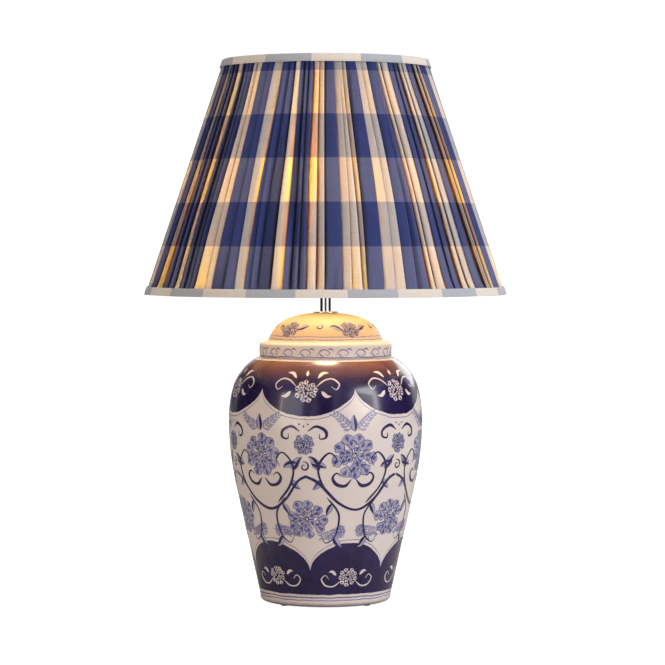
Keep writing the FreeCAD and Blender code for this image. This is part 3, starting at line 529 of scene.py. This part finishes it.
JAR_OUTSIDE = [
    (76.5, 1.5, (80.24, 3.6)), (81.3, 8.5), (112.0, 148.0, "smooth"), (120.6, 226.0, "smooth"),
    (116.8, 262.0, "smooth"), (85.8, 304.3)]
JAR_REST = [
    (76.4, 304.3), (76.4, 316.0), (70.4, 316.0), (70.4, 298.3), (110.8, 259.0), (114.6, 226.0),
    (106.0, 148.0), (81.1, 34.5), (71.1, 24.5), (5.4, 24.5), (5.4, 17.5), (65.0, 17.5), (66.0, 1.5)]
LID_OUTSIDE = [
    (80.0, 304.3), (82.2, 306.5), (82.2, 319.5, (81.2, 322.4)), (78.2, 323.5, (72.88, 324.6)),
    (70.6, 328.0, (63.4, 340.25)), (48.0, 352.5, (31.2, 357.26)), (17.0, 359.3)]
LID_REST = [
    (5.4, 359.3), (5.4, 353.3), (17.0, 353.3), (49.9, 346.5), (64.6, 328.0), (64.6, 319.0), (77.0, 319.0),
    (77.0, 304.3)]
# the hole of the cord bush, through the back of the foot: its height, and radii with how far back
HOLE_HEIGHT, HOLE_STEPS = 9.5, ((4.6, 60), (4.6, 80.1), (6.5, 80.1), (6.5, 90))


def hole_cutter():
    count = 24
    points = []
    for radius, depth in HOLE_STEPS:
        for turn in (TURN * i / count for i in range(count)):
            height = HOLE_HEIGHT + radius * math.sin(turn)
            points.append((radius * math.cos(turn) * MM, depth * MM, height * MM))
    faces = [tuple(range(count - 1, -1, -1)), tuple(range(3 * count, 4 * count))]
    mesh = bpy.data.meshes.new("cord_hole")
    mesh.from_pydata(points, [], faces + grid_faces(4, count, False, True).tolist())
    return put("cord_hole", mesh)


def make_jar():
    jar = lathe("painted_jar", ring_of(JAR_OUTSIDE, JAR_REST, 2.2, 9), jar_glaze(), 288)
    cutter = hole_cutter()
    cut = jar.modifiers.new("cord_hole", "BOOLEAN")
    cut.object = cutter
    cut.operation = "DIFFERENCE"
    cut.solver = "EXACT"
    bpy.context.view_layer.update()
    done = bpy.data.meshes.new_from_object(jar.evaluated_get(bpy.context.evaluated_depsgraph_get()))
    jar.modifiers.clear()
    jar.data = done
    bpy.data.objects.remove(cutter)
    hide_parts("jar_body")
    lid = lathe("painted_lid", ring_of(LID_OUTSIDE, LID_REST, 1.6, 6), lid_glaze(), 256)
    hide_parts("jar_lid")


# ---- brushwork ----

class Ground:
    """The outside of a turned piece as a place to paint: an angle, and a length up the outline in mm."""

    def __init__(self, corners):
        self.line = outline(corners, 0.6) / MM
        steps = np.hypot(*np.diff(self.line, axis=0).T)
        self.run = np.concatenate([[0], np.cumsum(steps)])
        slope = np.gradient(self.line, self.run, axis=0)
        self.out = np.stack([slope[:, 1], -slope[:, 0]], -1)

    def at_height(self, height):
        return float(np.interp(height, self.line[:, 1], self.run))

    def radius(self, run):
        return float(np.interp(run, self.run, self.line[:, 0]))

    def points(self, angle, run, lift):
        """Points lift mm off the surface, in metres."""
        r, z = (np.interp(run, self.run, self.line[:, i]) + np.interp(run, self.run, self.out[:, i]) * lift
                for i in (0, 1))
        return around(angle, r * MM, z * MM)


def spline(knots, step):
    """A smooth line through knots, as points about step apart."""
    knots = np.asarray(knots, float)
    if len(knots) == 2:
        count = max(2, math.ceil(np.hypot(*(knots[1] - knots[0])) / step) + 1)
        return knots[0] + (knots[1] - knots[0]) * np.linspace(0, 1, count)[:, None]
    ends = np.concatenate([[2 * knots[0] - knots[1]], knots, [2 * knots[-1] - knots[-2]]])
    out = []
    for a, b, c, d in zip(ends, ends[1:], ends[2:], ends[3:]):
        count = max(1, math.ceil(np.hypot(*(c - b)) / step))
        t = (np.arange(count) / count)[:, None]
        out.append(0.5 * (2 * b + (c - a) * t + (2 * a - 5 * b + 4 * c - d) * t ** 2
                          + (3 * b - a - 3 * c + d) * t ** 3))
    return np.concatenate([*out, knots[-1:]])


def beside(line):
    """A unit step to the left at each point of a line."""
    ahead = np.gradient(line, axis=0)
    ahead /= np.maximum(np.hypot(*ahead.T), 1e-9)[:, None]
    return np.stack([-ahead[:, 1], ahead[:, 0]], -1)


def blade_half(line, width, full):
    """Half the width of a petal or leaf along its line: widest part way along, pointed at both ends."""
    t = np.linspace(0, 1, len(line))
    return width / 2 * np.maximum(np.sin(math.pi * t ** full), 0.03) ** 0.85


def rotated(knots, angle, scale=1.0, shift=(0, 0)):
    turn = np.array([[math.cos(angle), math.sin(angle)], [-math.sin(angle), math.cos(angle)]])
    return np.asarray(knots, float) @ turn * scale + np.asarray(shift, float)


def wide(scale, *knots):
    """Knots with their x scaled, by -1 for a mirrored stroke."""
    return [(scale * x, y) for x, y in knots]


def curl(turns, start_r, end_r, begin=0.0):
    """Knots of a flat spiral."""
    t = np.linspace(0, 1, max(6, int(turns * 9)))
    r = start_r + (end_r - start_r) * t
    a = begin + TURN * turns * t
    return np.stack([r * np.cos(a), r * np.sin(a)], -1)


TONES = ("dark", "mid", "wash", "cream")
BOTH = (-1, 1)
UP = QUARTER   # the angle of a stroke that runs up the piece


class Canvas:
    """Collects brush strokes on one ground, as one mesh with a material for each tone. A stroke's
    centre is an angle and a length up the ground; its knots are in mm about that."""

    def __init__(self, ground):
        self.ground = ground
        self.points, self.faces, self.slots = [], [], []
        self.count = 0
        self.layer = 0

    def stroke(self, centre, line, left, right, tone, lift):
        """A ribbon along line, left and right wide of it. Its rims go under the surface."""
        columns = 2 + int(float(np.max(left + right)) / 3.5)
        share = np.concatenate([[0], np.linspace(0, 1, columns), [1]])
        offset = left[:, None] * (1 - share) - right[:, None] * share
        place = line[:, None, :] + beside(line)[:, None, :] * offset[:, :, None]
        angle0, run0 = centre
        angle = angle0 + place[:, :, 0] / self.ground.radius(run0)
        run = np.clip(run0 + place[:, :, 1], 0.4, self.ground.run[-1] - 0.4)
        height = np.full(share.shape, lift + 0.0004 * (self.layer % 40))
        height[[0, -1]] = -0.06
        points = self.ground.points(angle, run, height[None, :])
        self.points.append(points.reshape(-1, 3))
        faces = grid_faces(len(line), len(share), first=self.count)[:, ::-1]
        self.faces.append(faces)
        self.slots.append(np.full(len(faces), TONES.index(tone)))
        self.count += points.shape[0] * points.shape[1]
        self.layer += 1

    def line(self, centre, knots, width, tone, lift=0.16, taper=(0.35, 0.35)):
        """A stroke of a round brush, width wide, thinned towards its two ends."""
        line = spline(knots, 1.5)
        t = np.linspace(0, 1, len(line))
        start, end = (max(share, 1e-6) for share in taper)
        ends = np.minimum(1, np.minimum(0.25 + t / start, 0.25 + (1 - t) / end))
        half = width / 2 * ends * (1 + 0.12 * np.sin(9 * t + self.layer))
        self.stroke(centre, line, half, half, tone, lift)

    def blade(self, centre, knots, width, tone, lift=0.1, left=1.0, right=1.0, full=0.8):
        """A petal or leaf, or one half of it."""
        line = spline(knots, 1.6)
        half = blade_half(line, width, full)
        self.stroke(centre, line, half * left, half * right, tone, lift)

    def blade_edges(self, centre, knots, width, tone, pen, full=0.8):
        """The two edges of a blade, drawn with a fine brush."""
        line = spline(knots, 1.4)
        t = np.linspace(0, 1, len(line))
        aside, half = beside(line), blade_half(line, width, full)
        for side in BOTH:
            pen_half = pen / 2 * (0.8 + 0.4 * np.sin(5 * t + side + self.layer))
            self.stroke(centre, line + aside * (half * side)[:, None], pen_half, pen_half, tone, 0.17)

    def blossom(self, centre, radius, petal="wash"):
        """A full round blossom: three rings of petals round a whorl."""
        spin = rng.uniform(0, 1)
        for ring, (inner, outer, count, width) in enumerate(
                ((0.5, 1.0, 9, 0.52), (0.28, 0.7, 7, 0.44), (0.08, 0.42, 5, 0.32))):
            for k in range(count):
                angle = spin + ring * 0.4 + TURN * (k + rng.uniform(-0.08, 0.08)) / count
                size = radius * rng.uniform(0.93, 1.06)
                sway = rng.uniform(-0.08, 0.08)
                knots = rotated([(inner, 0), ((inner + outer) / 2, sway), (outer, sway * 1.4)], angle, size)
                self.blade(centre, knots, size * width, petal, 0.09 + 0.02 * ring, full=1.25)
                self.blade_edges(centre, knots, size * width, "dark", 0.75, full=1.25)
                inward = inner + (outer - inner) * 0.35
                tip = rotated([(outer * 0.95, sway), (inward, sway * 0.6)], angle, size)
                self.blade(centre, tip, size * width * 0.34, "mid", 0.15, full=0.6)
        self.line(centre, curl(1.6, radius * 0.02, radius * 0.15, spin), 1.1, "dark", 0.2)

    def leaf(self, centre, start, angle, length, bend, full="dark"):
        """A pointed leaf: one half full, the other thin, with the vein left open."""
        knots = rotated([(0, 0), (0.35, bend * 0.6), (0.7, bend), (1, bend * 0.7)], angle, length, start)
        width = length * 0.42
        self.blade(centre, knots, width, "wash", 0.09, left=1, right=0)
        self.blade(centre, knots, width, full, 0.1, left=0, right=0.9)
        self.blade_edges(centre, knots, width, "dark", 0.6)

    def spray(self, centre, start, angle, length, pairs=6):
        """A pale feathery sprig with small round leaves in pairs."""
        bend = rng.uniform(-0.16, 0.16)
        stem = rotated([(0, 0), (0.4, bend * 0.7), (0.75, bend), (1, bend * 0.8)], angle, length, start)
        self.line(centre, stem, 0.6, "mid", 0.13)
        path = spline(stem, 1.0)
        for k in range(pairs):
            t = (k + 0.8) / pairs
            foot = path[min(len(path) - 1, int(t * (len(path) - 1)))]
            size = length * (0.34 - 0.14 * t)
            for side in BOTH:
                lean = angle + side * (0.75 - 0.2 * t)
                knots = rotated([(0, 0), (0.5, side * 0.1), (1, side * 0.02)], lean, size, foot)
                self.blade(centre, knots, size * 0.28, "wash", 0.08, full=1.5)
                self.blade_edges(centre, knots, size * 0.28, "mid", 0.38, full=1.5)

    def make(self, name):
        return new_piece(name, np.concatenate(self.points), np.concatenate(self.faces),
                         [INKS[tone] for tone in TONES], "base", sharp=30,
                         face_slots=np.concatenate(self.slots))


def paint_jar():
    ground = Ground(JAR_OUTSIDE)
    canvas = Canvas(ground)
    step = TURN / REPEATS
    shift = -2 * LOBE_TURN / REPEATS   # a lobe of the shoulder hangs at the wave's crest
    upper, middle, lower = (ground.at_height(height) for height in (190, 151, 112))
    half = ground.radius(middle) * step / 2
    for k in range(REPEATS):
        jitter = rng.uniform(-0.02, 0.02)
        over = shift + step * (k + 0.5) + jitter
        under = shift + step * k + jitter
        # the scroll: one long wave that passes under each upper flower and over each lower one
        wave = wide(half, (-1, 15), (-0.72, 6), (-0.3, -19), (0.12, -28), (0.5, -15), (0.8, 8), (1, 15))
        canvas.line((over, middle), wave, 3.4, "dark", taper=(0, 0))
        size = rng.uniform(0.95, 1.05)
        canvas.blossom((over, upper), 29 * size)
        canvas.blossom((under, lower), 25 * size)
        for side in BOTH:
            # volutes that leave the scroll on both sides of each flower
            reach = side * half
            hook = wide(reach, (0.3, -20), (0.62, 2), (0.72, 26), (0.52, 43), (0.36, 36), (0.43, 26))
            canvas.line((over, middle), hook, 2.7, "dark", taper=(0.1, 0.5))
            canvas.leaf((over, middle), (reach * 0.7, 22), UP - side * 0.75, 21 * size, side * 0.16)
            canvas.leaf((over, middle), (reach * 0.66, 10), UP - side * 2.3, 16, -side * 0.14, "mid")
            dip = wide(reach, (0.42, 28), (0.66, 6), (0.6, -20), (0.4, -30), (0.28, -20))
            canvas.line((under, lower), dip, 2.4, "dark", taper=(0.1, 0.5))
            canvas.leaf((under, lower), (reach * 0.56, -22), -UP + side * 0.8, 18, -side * 0.15)
            canvas.spray((over, lower), (side * 6, -8), -UP + side * 1.05, 25)
        canvas.line((under, upper), curl(1.25, 1.2, 6.5, 0.5) + (0, -13), 2.0, "dark")
        for side in BOTH:
            broad = wide(side, (3, -29), (11, -37), (22, -35), (27, -27), (22, -21), (16, -25))
            canvas.line((over, upper), broad, 4.0, "dark", taper=(0.25, 0.6))
            canvas.spray((over, upper), (side * 3, 31), UP - side * 0.95, 30, 7)
            canvas.leaf((under, upper), (side * 9, -9), -UP + side * 1.15, 19, side * 0.16)
            ribbon = wide(side, (5, 30), (15, 36), (26, 31), (27, 23), (20, 21), (19, 27))
            canvas.line((under, upper), ribbon, 3.6, "dark", taper=(0.3, 0.6))
            canvas.spray((over, lower), (side * 4, -14), -UP + side * 1.35, 33, 8)
            canvas.leaf((over, middle), (side * half * 0.42, -20), -UP + side * 0.35, 17, side * 0.14)
        canvas.blossom((under, upper + 14), 13 * size)
        canvas.leaf((over, upper), (0, 30), UP, 20, 0.1)
        for dot in (-1, 0, 1):
            place = (under + 0.045 * dot, upper + 36 + 2.5 * abs(dot))
            canvas.blade(place, [(0, -1.6), (0, 1.6)], 2.4, "dark", full=1)
    shoulder, foot = ground.at_height(268), ground.at_height(40)
    for k in range(REPEATS):
        hang = (shift + step * k, shoulder)
        rise = (shift + step * (k + 0.5), foot)
        canvas.blossom(hang, 14.5, "cream")
        for side in BOTH:
            sweep = wide(side, (12, 5), (22, 14), (33, 16), (41, 9), (37, 2), (31, 6))
            canvas.line(hang, sweep, 1.7, "cream", taper=(0.2, 0.5))
            canvas.blade(hang, wide(side, (19, 0), (25, -6), (31, -6)), 4.6, "cream")
            canvas.blade(hang, wide(side, (14, 17), (20, 24), (28, 25)), 4.2, "cream")
        canvas.blade(hang, [(0, 20), (0, 28)], 4.0, "cream")
        canvas.blossom(rise, 12.5, "cream")
        for side in BOTH:
            sweep = wide(side, (9, -5), (18, -12), (28, -11), (33, -3), (28, 2), (24, -3))
            canvas.line(rise, sweep, 1.6, "cream", taper=(0.2, 0.5))
            canvas.blade(rise, wide(side, (15, 2), (20, 7), (24, 6)), 3.8, "cream")
    canvas.make("jar_painting")


def paint_lid():
    ground = Ground(LID_OUTSIDE[1:])
    canvas = Canvas(ground)
    band, dome = ground.at_height(313), ground.at_height(341)
    scrolls, flowers = 22, 5
    for k in range(scrolls):
        centre = (TURN * k / scrolls, band)
        scroll = [(-11, -3), (-5, 3), (1, 3.4), (5, -0.5), (2.5, -3.4), (0, -1.5)]
        canvas.line(centre, scroll, 1.1, "mid", taper=(0.3, 0.5))
        canvas.blade(centre, [(-8, 0), (-5, -3.6), (-1.5, -4)], 2.8, "wash")
        canvas.blade(centre, [(3, 4), (7, 4.6), (10, 2.5)], 2.6, "wash")
        canvas.line(centre, [(3, 4), (7, 4.8), (10, 2.5)], 0.5, "dark")
    for k in range(flowers):
        centre = (0.5 + TURN * k / flowers, dome)
        canvas.blossom(centre, 12.5)
        for side in BOTH:
            canvas.leaf(centre, (side * 12, -1), UP - side * 1.35, 15, side * 0.2)
        between = (0.5 + TURN * (k + 0.5) / flowers, dome + 4)
        canvas.line(between, curl(1.1, 1.0, 5.0, 1.0), 1.7, "dark")
    canvas.make("lid_painting")


# ---- shade ----

SHADE_LOW, SHADE_TALL = 382.7, 291
SHADE_LOW_R, SHADE_HIGH_R = 226.0, 128.4
SHADE_SLOPE = (SHADE_LOW_R - SHADE_HIGH_R) / SHADE_TALL
COVER_LOW, COVER_TALL = 384.2, 288
LOW_TRIM_EDGE, HIGH_TRIM_EDGE = 392.7, 663.7
BAND_START, BAND_RISE = 442.8, 52.6   # where the check's bands begin, and how tall each is on the cone
FOLD_STEPS = 20


def shade_radius(height, inset):
    """Radius in mm of the cone that lies inset within the trims' outer face."""
    return SHADE_LOW_R - (np.asarray(height, float) - SHADE_LOW) * SHADE_SLOPE - inset


def fold_plan():
    """How long each fold of the cover is, in mm of cloth, in order round it: one to three to a stripe."""
    lengths = []
    for _ in range(STRIPES):
        count = int(rng.choice([1, 2, 2, 3]))
        cut = rng.uniform(0.6, 1.4, count)
        lengths += list(cut / cut.sum() * STRIPE_MM)
    return np.array(lengths)


def crease_shade_depth(angle, out):
    """How deep each point of one row lies beside or under the folds next to it, from 0 to 1: the strength of
    the painted shade that the cloth's material puts in the creases.
    """
    bins, between, fall, slack, full_depth = 720, 4, 0.9, 0.9, 3.6
    ways = [k / between for k in range(between)]
    ring_angle = np.concatenate([angle + (np.roll(angle, -1) - angle) % math.pi * way for way in ways])
    ring_out = np.concatenate([out + (np.roll(out, -1) - out) * way for way in ways])
    highest = np.full(bins, -1.0)
    np.maximum.at(highest, (ring_angle / TURN * bins).astype(int) % bins, ring_out)
    nearby = np.max([np.roll(highest, k) - fall * abs(k) for k in range(-2, 3)], axis=0)
    here = angle / TURN * bins
    low = np.floor(here).astype(int)
    part = here - low
    nearest = nearby[low % bins] * (1 - part) + nearby[(low + 1) % bins] * part
    return np.clip((nearest - out - slack) / full_depth, 0, 1)


def held_flat(height):
    """1 where a trim holds the cover flat, and less away from it."""
    return max(math.exp(-max(height - LOW_TRIM_EDGE, 0) / 7), math.exp(-max(HIGH_TRIM_EDGE - height, 0) / 9))


def cloth_piece(name, material, rows, uvs):
    """A sheet of the shade's cloth from rows of points that run round it."""
    faces = grid_faces(len(rows), len(rows[0]))
    return new_piece(name, np.concatenate(rows), faces, [material], "shade", sharp=None,
                     uvs=np.concatenate(uvs))


def make_cover(material):
    """The gathered cover: soft pleats that lean one way and then the other, drawn flat at both rims."""
    lengths = fold_plan()
    count = len(lengths)
    start_mm = np.concatenate([[0], np.cumsum(lengths)])
    base_width = lengths ** 0.7 * rng.uniform(0.62, 1.4, count)
    drift = rng.uniform(-0.28, 0.28, count)
    phase = rng.uniform(0, TURN, count)
    lean_at = np.linspace(0, TURN, count, endpoint=False)
    lean = np.tanh(3 * np.sin(5 * lean_at + 0.9) + 0.6) * rng.uniform(0.1, 0.85, count)
    lean_drift = rng.uniform(-0.3, 0.3, count)
    crest_out = rng.uniform(0.7, 1.0, count)
    valley_in = rng.uniform(0.7, 1.0, count)
    heights = np.concatenate([[COVER_LOW, 387.0, 390.5, 393.2, 396.5, 401], np.linspace(408, 648, 21),
                              [653.5, 657.5, 660.5, 663.5, 667, 672.2]])
    t_fold = np.arange(FOLD_STEPS) / FOLD_STEPS
    ease = (1 - np.cos(TURN * t_fold)) / 2
    crest = ease ** 0.8
    first_half = t_fold < 0.5

    def valley(values):
        """At each point of each fold, the value of the valley nearer to it."""
        return np.where(first_half, values[:, None], np.roll(values, -1)[:, None])

    # the first column is laid again at the end, so that the map runs on to the seam
    seam = np.append(np.arange(count * FOLD_STEPS), 0)
    across_mm = np.append(start_mm[:-1, None] + lengths[:, None] * t_fold, start_mm[-1])
    rows, uvs, crease_shades = [], [], []
    for height in heights:
        t = (height - COVER_LOW) / COVER_TALL
        held = held_flat(height)
        width = base_width * (1 + drift * (2 * t - 1) + 0.07 * np.sin(phase + 5 * t))
        edge = np.concatenate([[0], np.cumsum(width)]) / width.sum() * TURN
        pitch = (edge[1:] - edge[:-1])[:, None]
        radius = float(shade_radius(height, 6.1 - 1.4 * held))
        depth = 4.0 * (1 - 0.36 * held)
        # each crest lies over the next fold; how far grows with the fold's width
        overlap = (lean + lean_drift * (t - 0.5)) * (4.5 + 0.35 * pitch[:, 0] * radius)
        crest_lean = overlap * (1 - 0.2 * held)
        valley_lean = (crest_lean + np.roll(crest_lean, 1)) / 2
        rise = crest_out[:, None] * crest - valley(valley_in) * (1 - crest)
        move = crest_lean[:, None] * ease - valley(valley_lean) * (1 - ease)
        angle = (edge[:-1, None] + pitch * (t_fold - 0.12 * np.sin(TURN * t_fold)) + move / radius).ravel()
        out = (radius + rise * depth).ravel()
        rows.append(around(angle, out * MM, height * MM)[seam])
        crease_shades.append(crease_shade_depth(angle, out)[seam])
        along = np.full(len(seam), (height - BAND_START) / BAND_RISE * SQUARE)
        uvs.append(np.stack([across_mm * MM, along], -1))
    cover = cloth_piece("gathered_cover", material, rows, uvs)
    # how deep each point lies between the folds, which the cloth's material paints as shade
    crease_shade = cover.data.attributes.new("crease_shade", "FLOAT", "POINT")
    crease_shade.data.foreach_set("value", np.concatenate(crease_shades).astype(np.float32))
    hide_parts("shade_cover")
    return cover


def make_lining(material):
    """The smooth lining, drawn a little inwards between the struts."""
    heights = np.linspace(COVER_LOW, 666.3, 24)
    angles = np.linspace(0, TURN, 193)
    between, mean_radius = np.abs(np.sin(4 * angles)), 0.17
    rows, uvs = [], []
    for height in heights:
        t = (height - heights[0]) / (heights[-1] - heights[0])
        slack = 0.35 * math.sin(math.pi * t)
        rows.append(around(angles, shade_radius(height, 10.9 + slack * between) * MM, height * MM))
        uvs.append(np.stack([angles * mean_radius, np.full(len(angles), height * MM)], -1))
    lining = cloth_piece("cotton_lining", material, rows, uvs)
    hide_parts("shade_lining")
    return lining


def make_trim(name, node, section, material):
    """A folded band round a rim: a closed section of (height, inset) pairs, in mm, that wanders a little."""
    angles = np.linspace(-math.pi, math.pi, 361)
    sway = sum(rng.uniform(0.3, 1) * np.sin(angles * n + rng.uniform(0, TURN)) for n in (3, 7, 12, 19))
    runs = np.concatenate([[0], np.cumsum(np.hypot(*np.diff(section, axis=0).T))])
    points, uvs = [], []
    for (height, inset), run in zip(section, runs):
        radius = shade_radius(height, inset) - 0.05 * sway
        points.append(around(angles, radius * MM, (height + 0.06 * sway) * MM))
        uvs.append(np.stack([angles, np.full(len(angles), run * MM)], -1))
    faces = grid_faces(len(section), len(angles), close_rows=True)[:, ::-1]
    trim = new_piece(name, np.concatenate(points), faces, [material], "shade", sharp=50,
                     uvs=np.concatenate(uvs))
    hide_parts(node)
    return trim


LOW_TRIM = [
    (383.1, 0.15), (382.75, 0.8), (382.75, 11.9), (383.2, 12.7), (391.8, 12.75), (392.6, 12.4),
    (392.6, 11.9), (391.9, 11.65), (384.3, 11.6), (383.95, 11.1), (383.95, 1.5), (384.3, 1.25),
    (391.8, 1.2), (392.5, 0.95), (392.6, 0.45), (392.1, 0.1), (388, 0.0)]
HIGH_TRIM = [
    (673.3, 0.15), (673.65, 0.8), (673.65, 11.2), (673.3, 11.8), (672.8, 11.7), (672.5, 11.0),
    (672.45, 1.6), (672.1, 1.25), (664.6, 1.2), (663.9, 0.95), (663.8, 0.45), (664.3, 0.1), (668, 0.0)]


def make_shade():
    cover = make_cover(check_cloth())
    lining = make_lining(lining_cloth())
    low = make_trim("hem_band", "bottom_trim", LOW_TRIM, trim_cloth("hem_trim_cloth", 15.6, 6.6))
    high = make_trim("rim_band", "top_trim", HIGH_TRIM, trim_cloth("rim_trim_cloth", 26.4, 19))


# ---- small pieces ----

def make_felt(material):
    """Four felt pads with soft edges under the foot."""
    points, faces = [], []
    segments, pad_count, pad_radius, circle_radius = 40, 4, 4.5, 71.25
    ring = [(0, 0), (3.6, 0.0), (4.3, 0.25), (pad_radius, 0.75), (4.35, 1.3), (4.0, 1.5), (0, 1.5)]
    for k in range(pad_count):
        corner = math.radians(45 + 90 * k)
        faces += grid_faces(len(ring), segments, False, True, len(points)).tolist()
        for r, z in ring:
            for turn in (TURN * i / segments for i in range(segments)):
                frayed = r * (1 + 0.012 * math.sin(7 * turn + 3 * z) + 0.01 * math.sin(17 * turn + k))
                frayed = min(frayed, pad_radius)
                points.append(((circle_radius * math.cos(corner) + frayed * math.cos(turn)) * MM,
                               (circle_radius * math.sin(corner) + frayed * math.sin(turn)) * MM, z * MM))
    pads = new_piece("felt_feet", points, faces, [material], "base")
    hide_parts("felt_pads")


# body, lowest and highest point, outer and inner radius, depth and pitch of the thread, rows to a
# turn, points round it
THREADS = {"threaded_rod": ("base", 8.4, 419.2, 5.0, 3.6, 0.32, 1.5, 6, 24),
           "bulb_cap": ("bulb", 451.0, 472.0, 13.3, 12.2, 0.75, 3.6, 16, 72)}


def make_thread(node, material):
    """A tube whose outside runs in a helix."""
    body, low, high, outer, inner, depth, pitch, per_turn, segments = THREADS[node]
    angles = np.linspace(0, TURN, segments, endpoint=False)
    rows = []
    for height in np.linspace(low, high, round((high - low) / pitch * per_turn) + 1):
        run_out = max(min(1, (height - low) / pitch, (high - height) / pitch), 0)
        wave = 0.5 + 0.5 * np.cos(TURN * (height - low) / pitch + angles)
        rows.append(around(angles, (outer - depth * (1 - wave * run_out)) * MM, height * MM))
    for height in (high, low):
        rows.append(around(angles, np.full(segments, inner * MM), height * MM))
    faces = grid_faces(len(rows), segments, True, True)
    made = new_piece(node + "_thread", np.concatenate(rows), faces, [material], body, sharp=60)
    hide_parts(node)


def dress():
    """Gives each carried-over piece its material, and makes the small pieces that stand for others."""
    looks = {
        "zinc_steel": metal("zinc_plate", (0.66, 0.67, 0.68), 0.28, mottle=0.3, bump=0.1),
        "chrome": metal("polished_chrome", (0.86, 0.86, 0.87), 0.035),
        "brass": metal("bright_brass", (0.82, 0.6, 0.27), 0.2, mottle=0.2, bump=0.05),
        "bulb_metal": metal("pressed_aluminium", (0.8, 0.8, 0.79), 0.24, (1, 1, 6), mottle=0.15, bump=0.05),
        "white_enamel": solid("white_enamel_wire", "dcdad2", "f1efe8", 0.35, 120, 0.08),
        "black_rubber": solid("matt_black_rubber", "0d0d0d", "1c1c1b", 0.75, 300, 0.15),
        "clear_rubber": solid("clear_rubber_washer", "c9c6bc", "e0ddd4", 0.45, 90, 0.05,
                              Transmission_Weight=0.25),
        "core_plastic": solid("black_thermoset", "0b0b0c", "191919", 0.3, 220, 0.06),
        "bar_plastic": solid("white_push_bar", "ddd9cd", "efece2", 0.25, 150, 0.04),
        "bulb_glass": lit_glass(),
        "black_glass": solid("black_insulator_glass", "050506", "101013", 0.08, 60, 0.03),
    }
    for part in frame["record"]["subparts"]:
        node, slot = part["node"], part["material_slot"]
        if slot not in looks or NODES[node].hide_render:
            continue
        if node in THREADS:
            make_thread(node, looks[slot])
        else:
            materials = NODES[node].data.materials
            materials.clear()
            materials.append(looks[slot])
    make_felt(solid("dark_wool_felt", "1c211e", "353b37", 0.95, 900, 0.6))


# ---- stage ----

def flat_sheet(name, corners, material):
    mesh = bpy.data.meshes.new(name)
    mesh.from_pydata(corners, [], [(0, 1, 2, 3)])
    mesh.materials.append(material)
    return put(name, mesh)


def make_floor():
    """A pale floor, a hair under the felt so that the two don't coincide."""
    size, below = 40, -0.0001
    paint = Paint("pale_floor")
    tone = paint.mix(paint.noise(paint.here, 3, 2), rgb("a3a2a0"), rgb("adacaa"))
    # white to the eye, as a cut-out's ground is, but it throws little light back on the lamp
    seen = paint.times(paint.node("LightPath").outputs["Is Camera Ray"], 0.9)
    material = paint.finish(paint.surface(tone, glow=grey(1), Roughness=0.9, Emission_Strength=seen))
    corners = [(x * size, y * size, below) for x, y in ((-1, -1), (1, -1), (1, 1), (-1, 1))]
    floor = flat_sheet("floor", corners, material)


def make_cards():
    """Pale and dark cards round the set, out of sight, that draw the lines on the chrome."""
    looks = {}
    for name, low, high, light in (
            ("pale_card", "d8d8d6", "e6e6e4", 1.5), ("dark_card", "060606", "0d0d0d", 0.0)):
        paint = Paint(name)
        tone = paint.mix(paint.noise(paint.here, 6, 2), rgb(low), rgb(high))
        looks[name] = paint.finish(paint.surface(tone, glow=grey(1), Roughness=0.95, Emission_Strength=light))
    away, bottom, top = 2.9, 0.01, 1.7
    # each card's middle and half its width, in degrees about the axis
    for name, turn, half in (("pale_card", 44, 15), ("pale_card", -40, 13), ("dark_card", 0, 9),
                             ("dark_card", 100, 30), ("dark_card", -100, 30)):
        left, right = math.radians(turn - half), math.radians(turn + half)
        corners = ((left, bottom), (right, bottom), (right, top), (left, top))
        card = flat_sheet(name, [tuple(around(np.array(a), away, h)) for a, h in corners], looks[name])
        card.visible_camera = card.visible_diffuse = card.visible_shadow = card.visible_transmission = False


make_camera()
make_world()
make_lights()
INKS = {
    "dark": brush_ink("cobalt_full", "1f1642", "3a3070", 0.55),
    "mid": brush_ink("cobalt_mid", "433c7c", "726ea3"),
    "wash": brush_ink("cobalt_wash", "8f8fb4", "b4b1c2"),
    "cream": brush_ink("glaze_reserve", "d6cac6", "e0d6d2"),
}
make_jar()
paint_jar()
paint_lid()
make_shade()
dress()
make_floor()
make_cards()
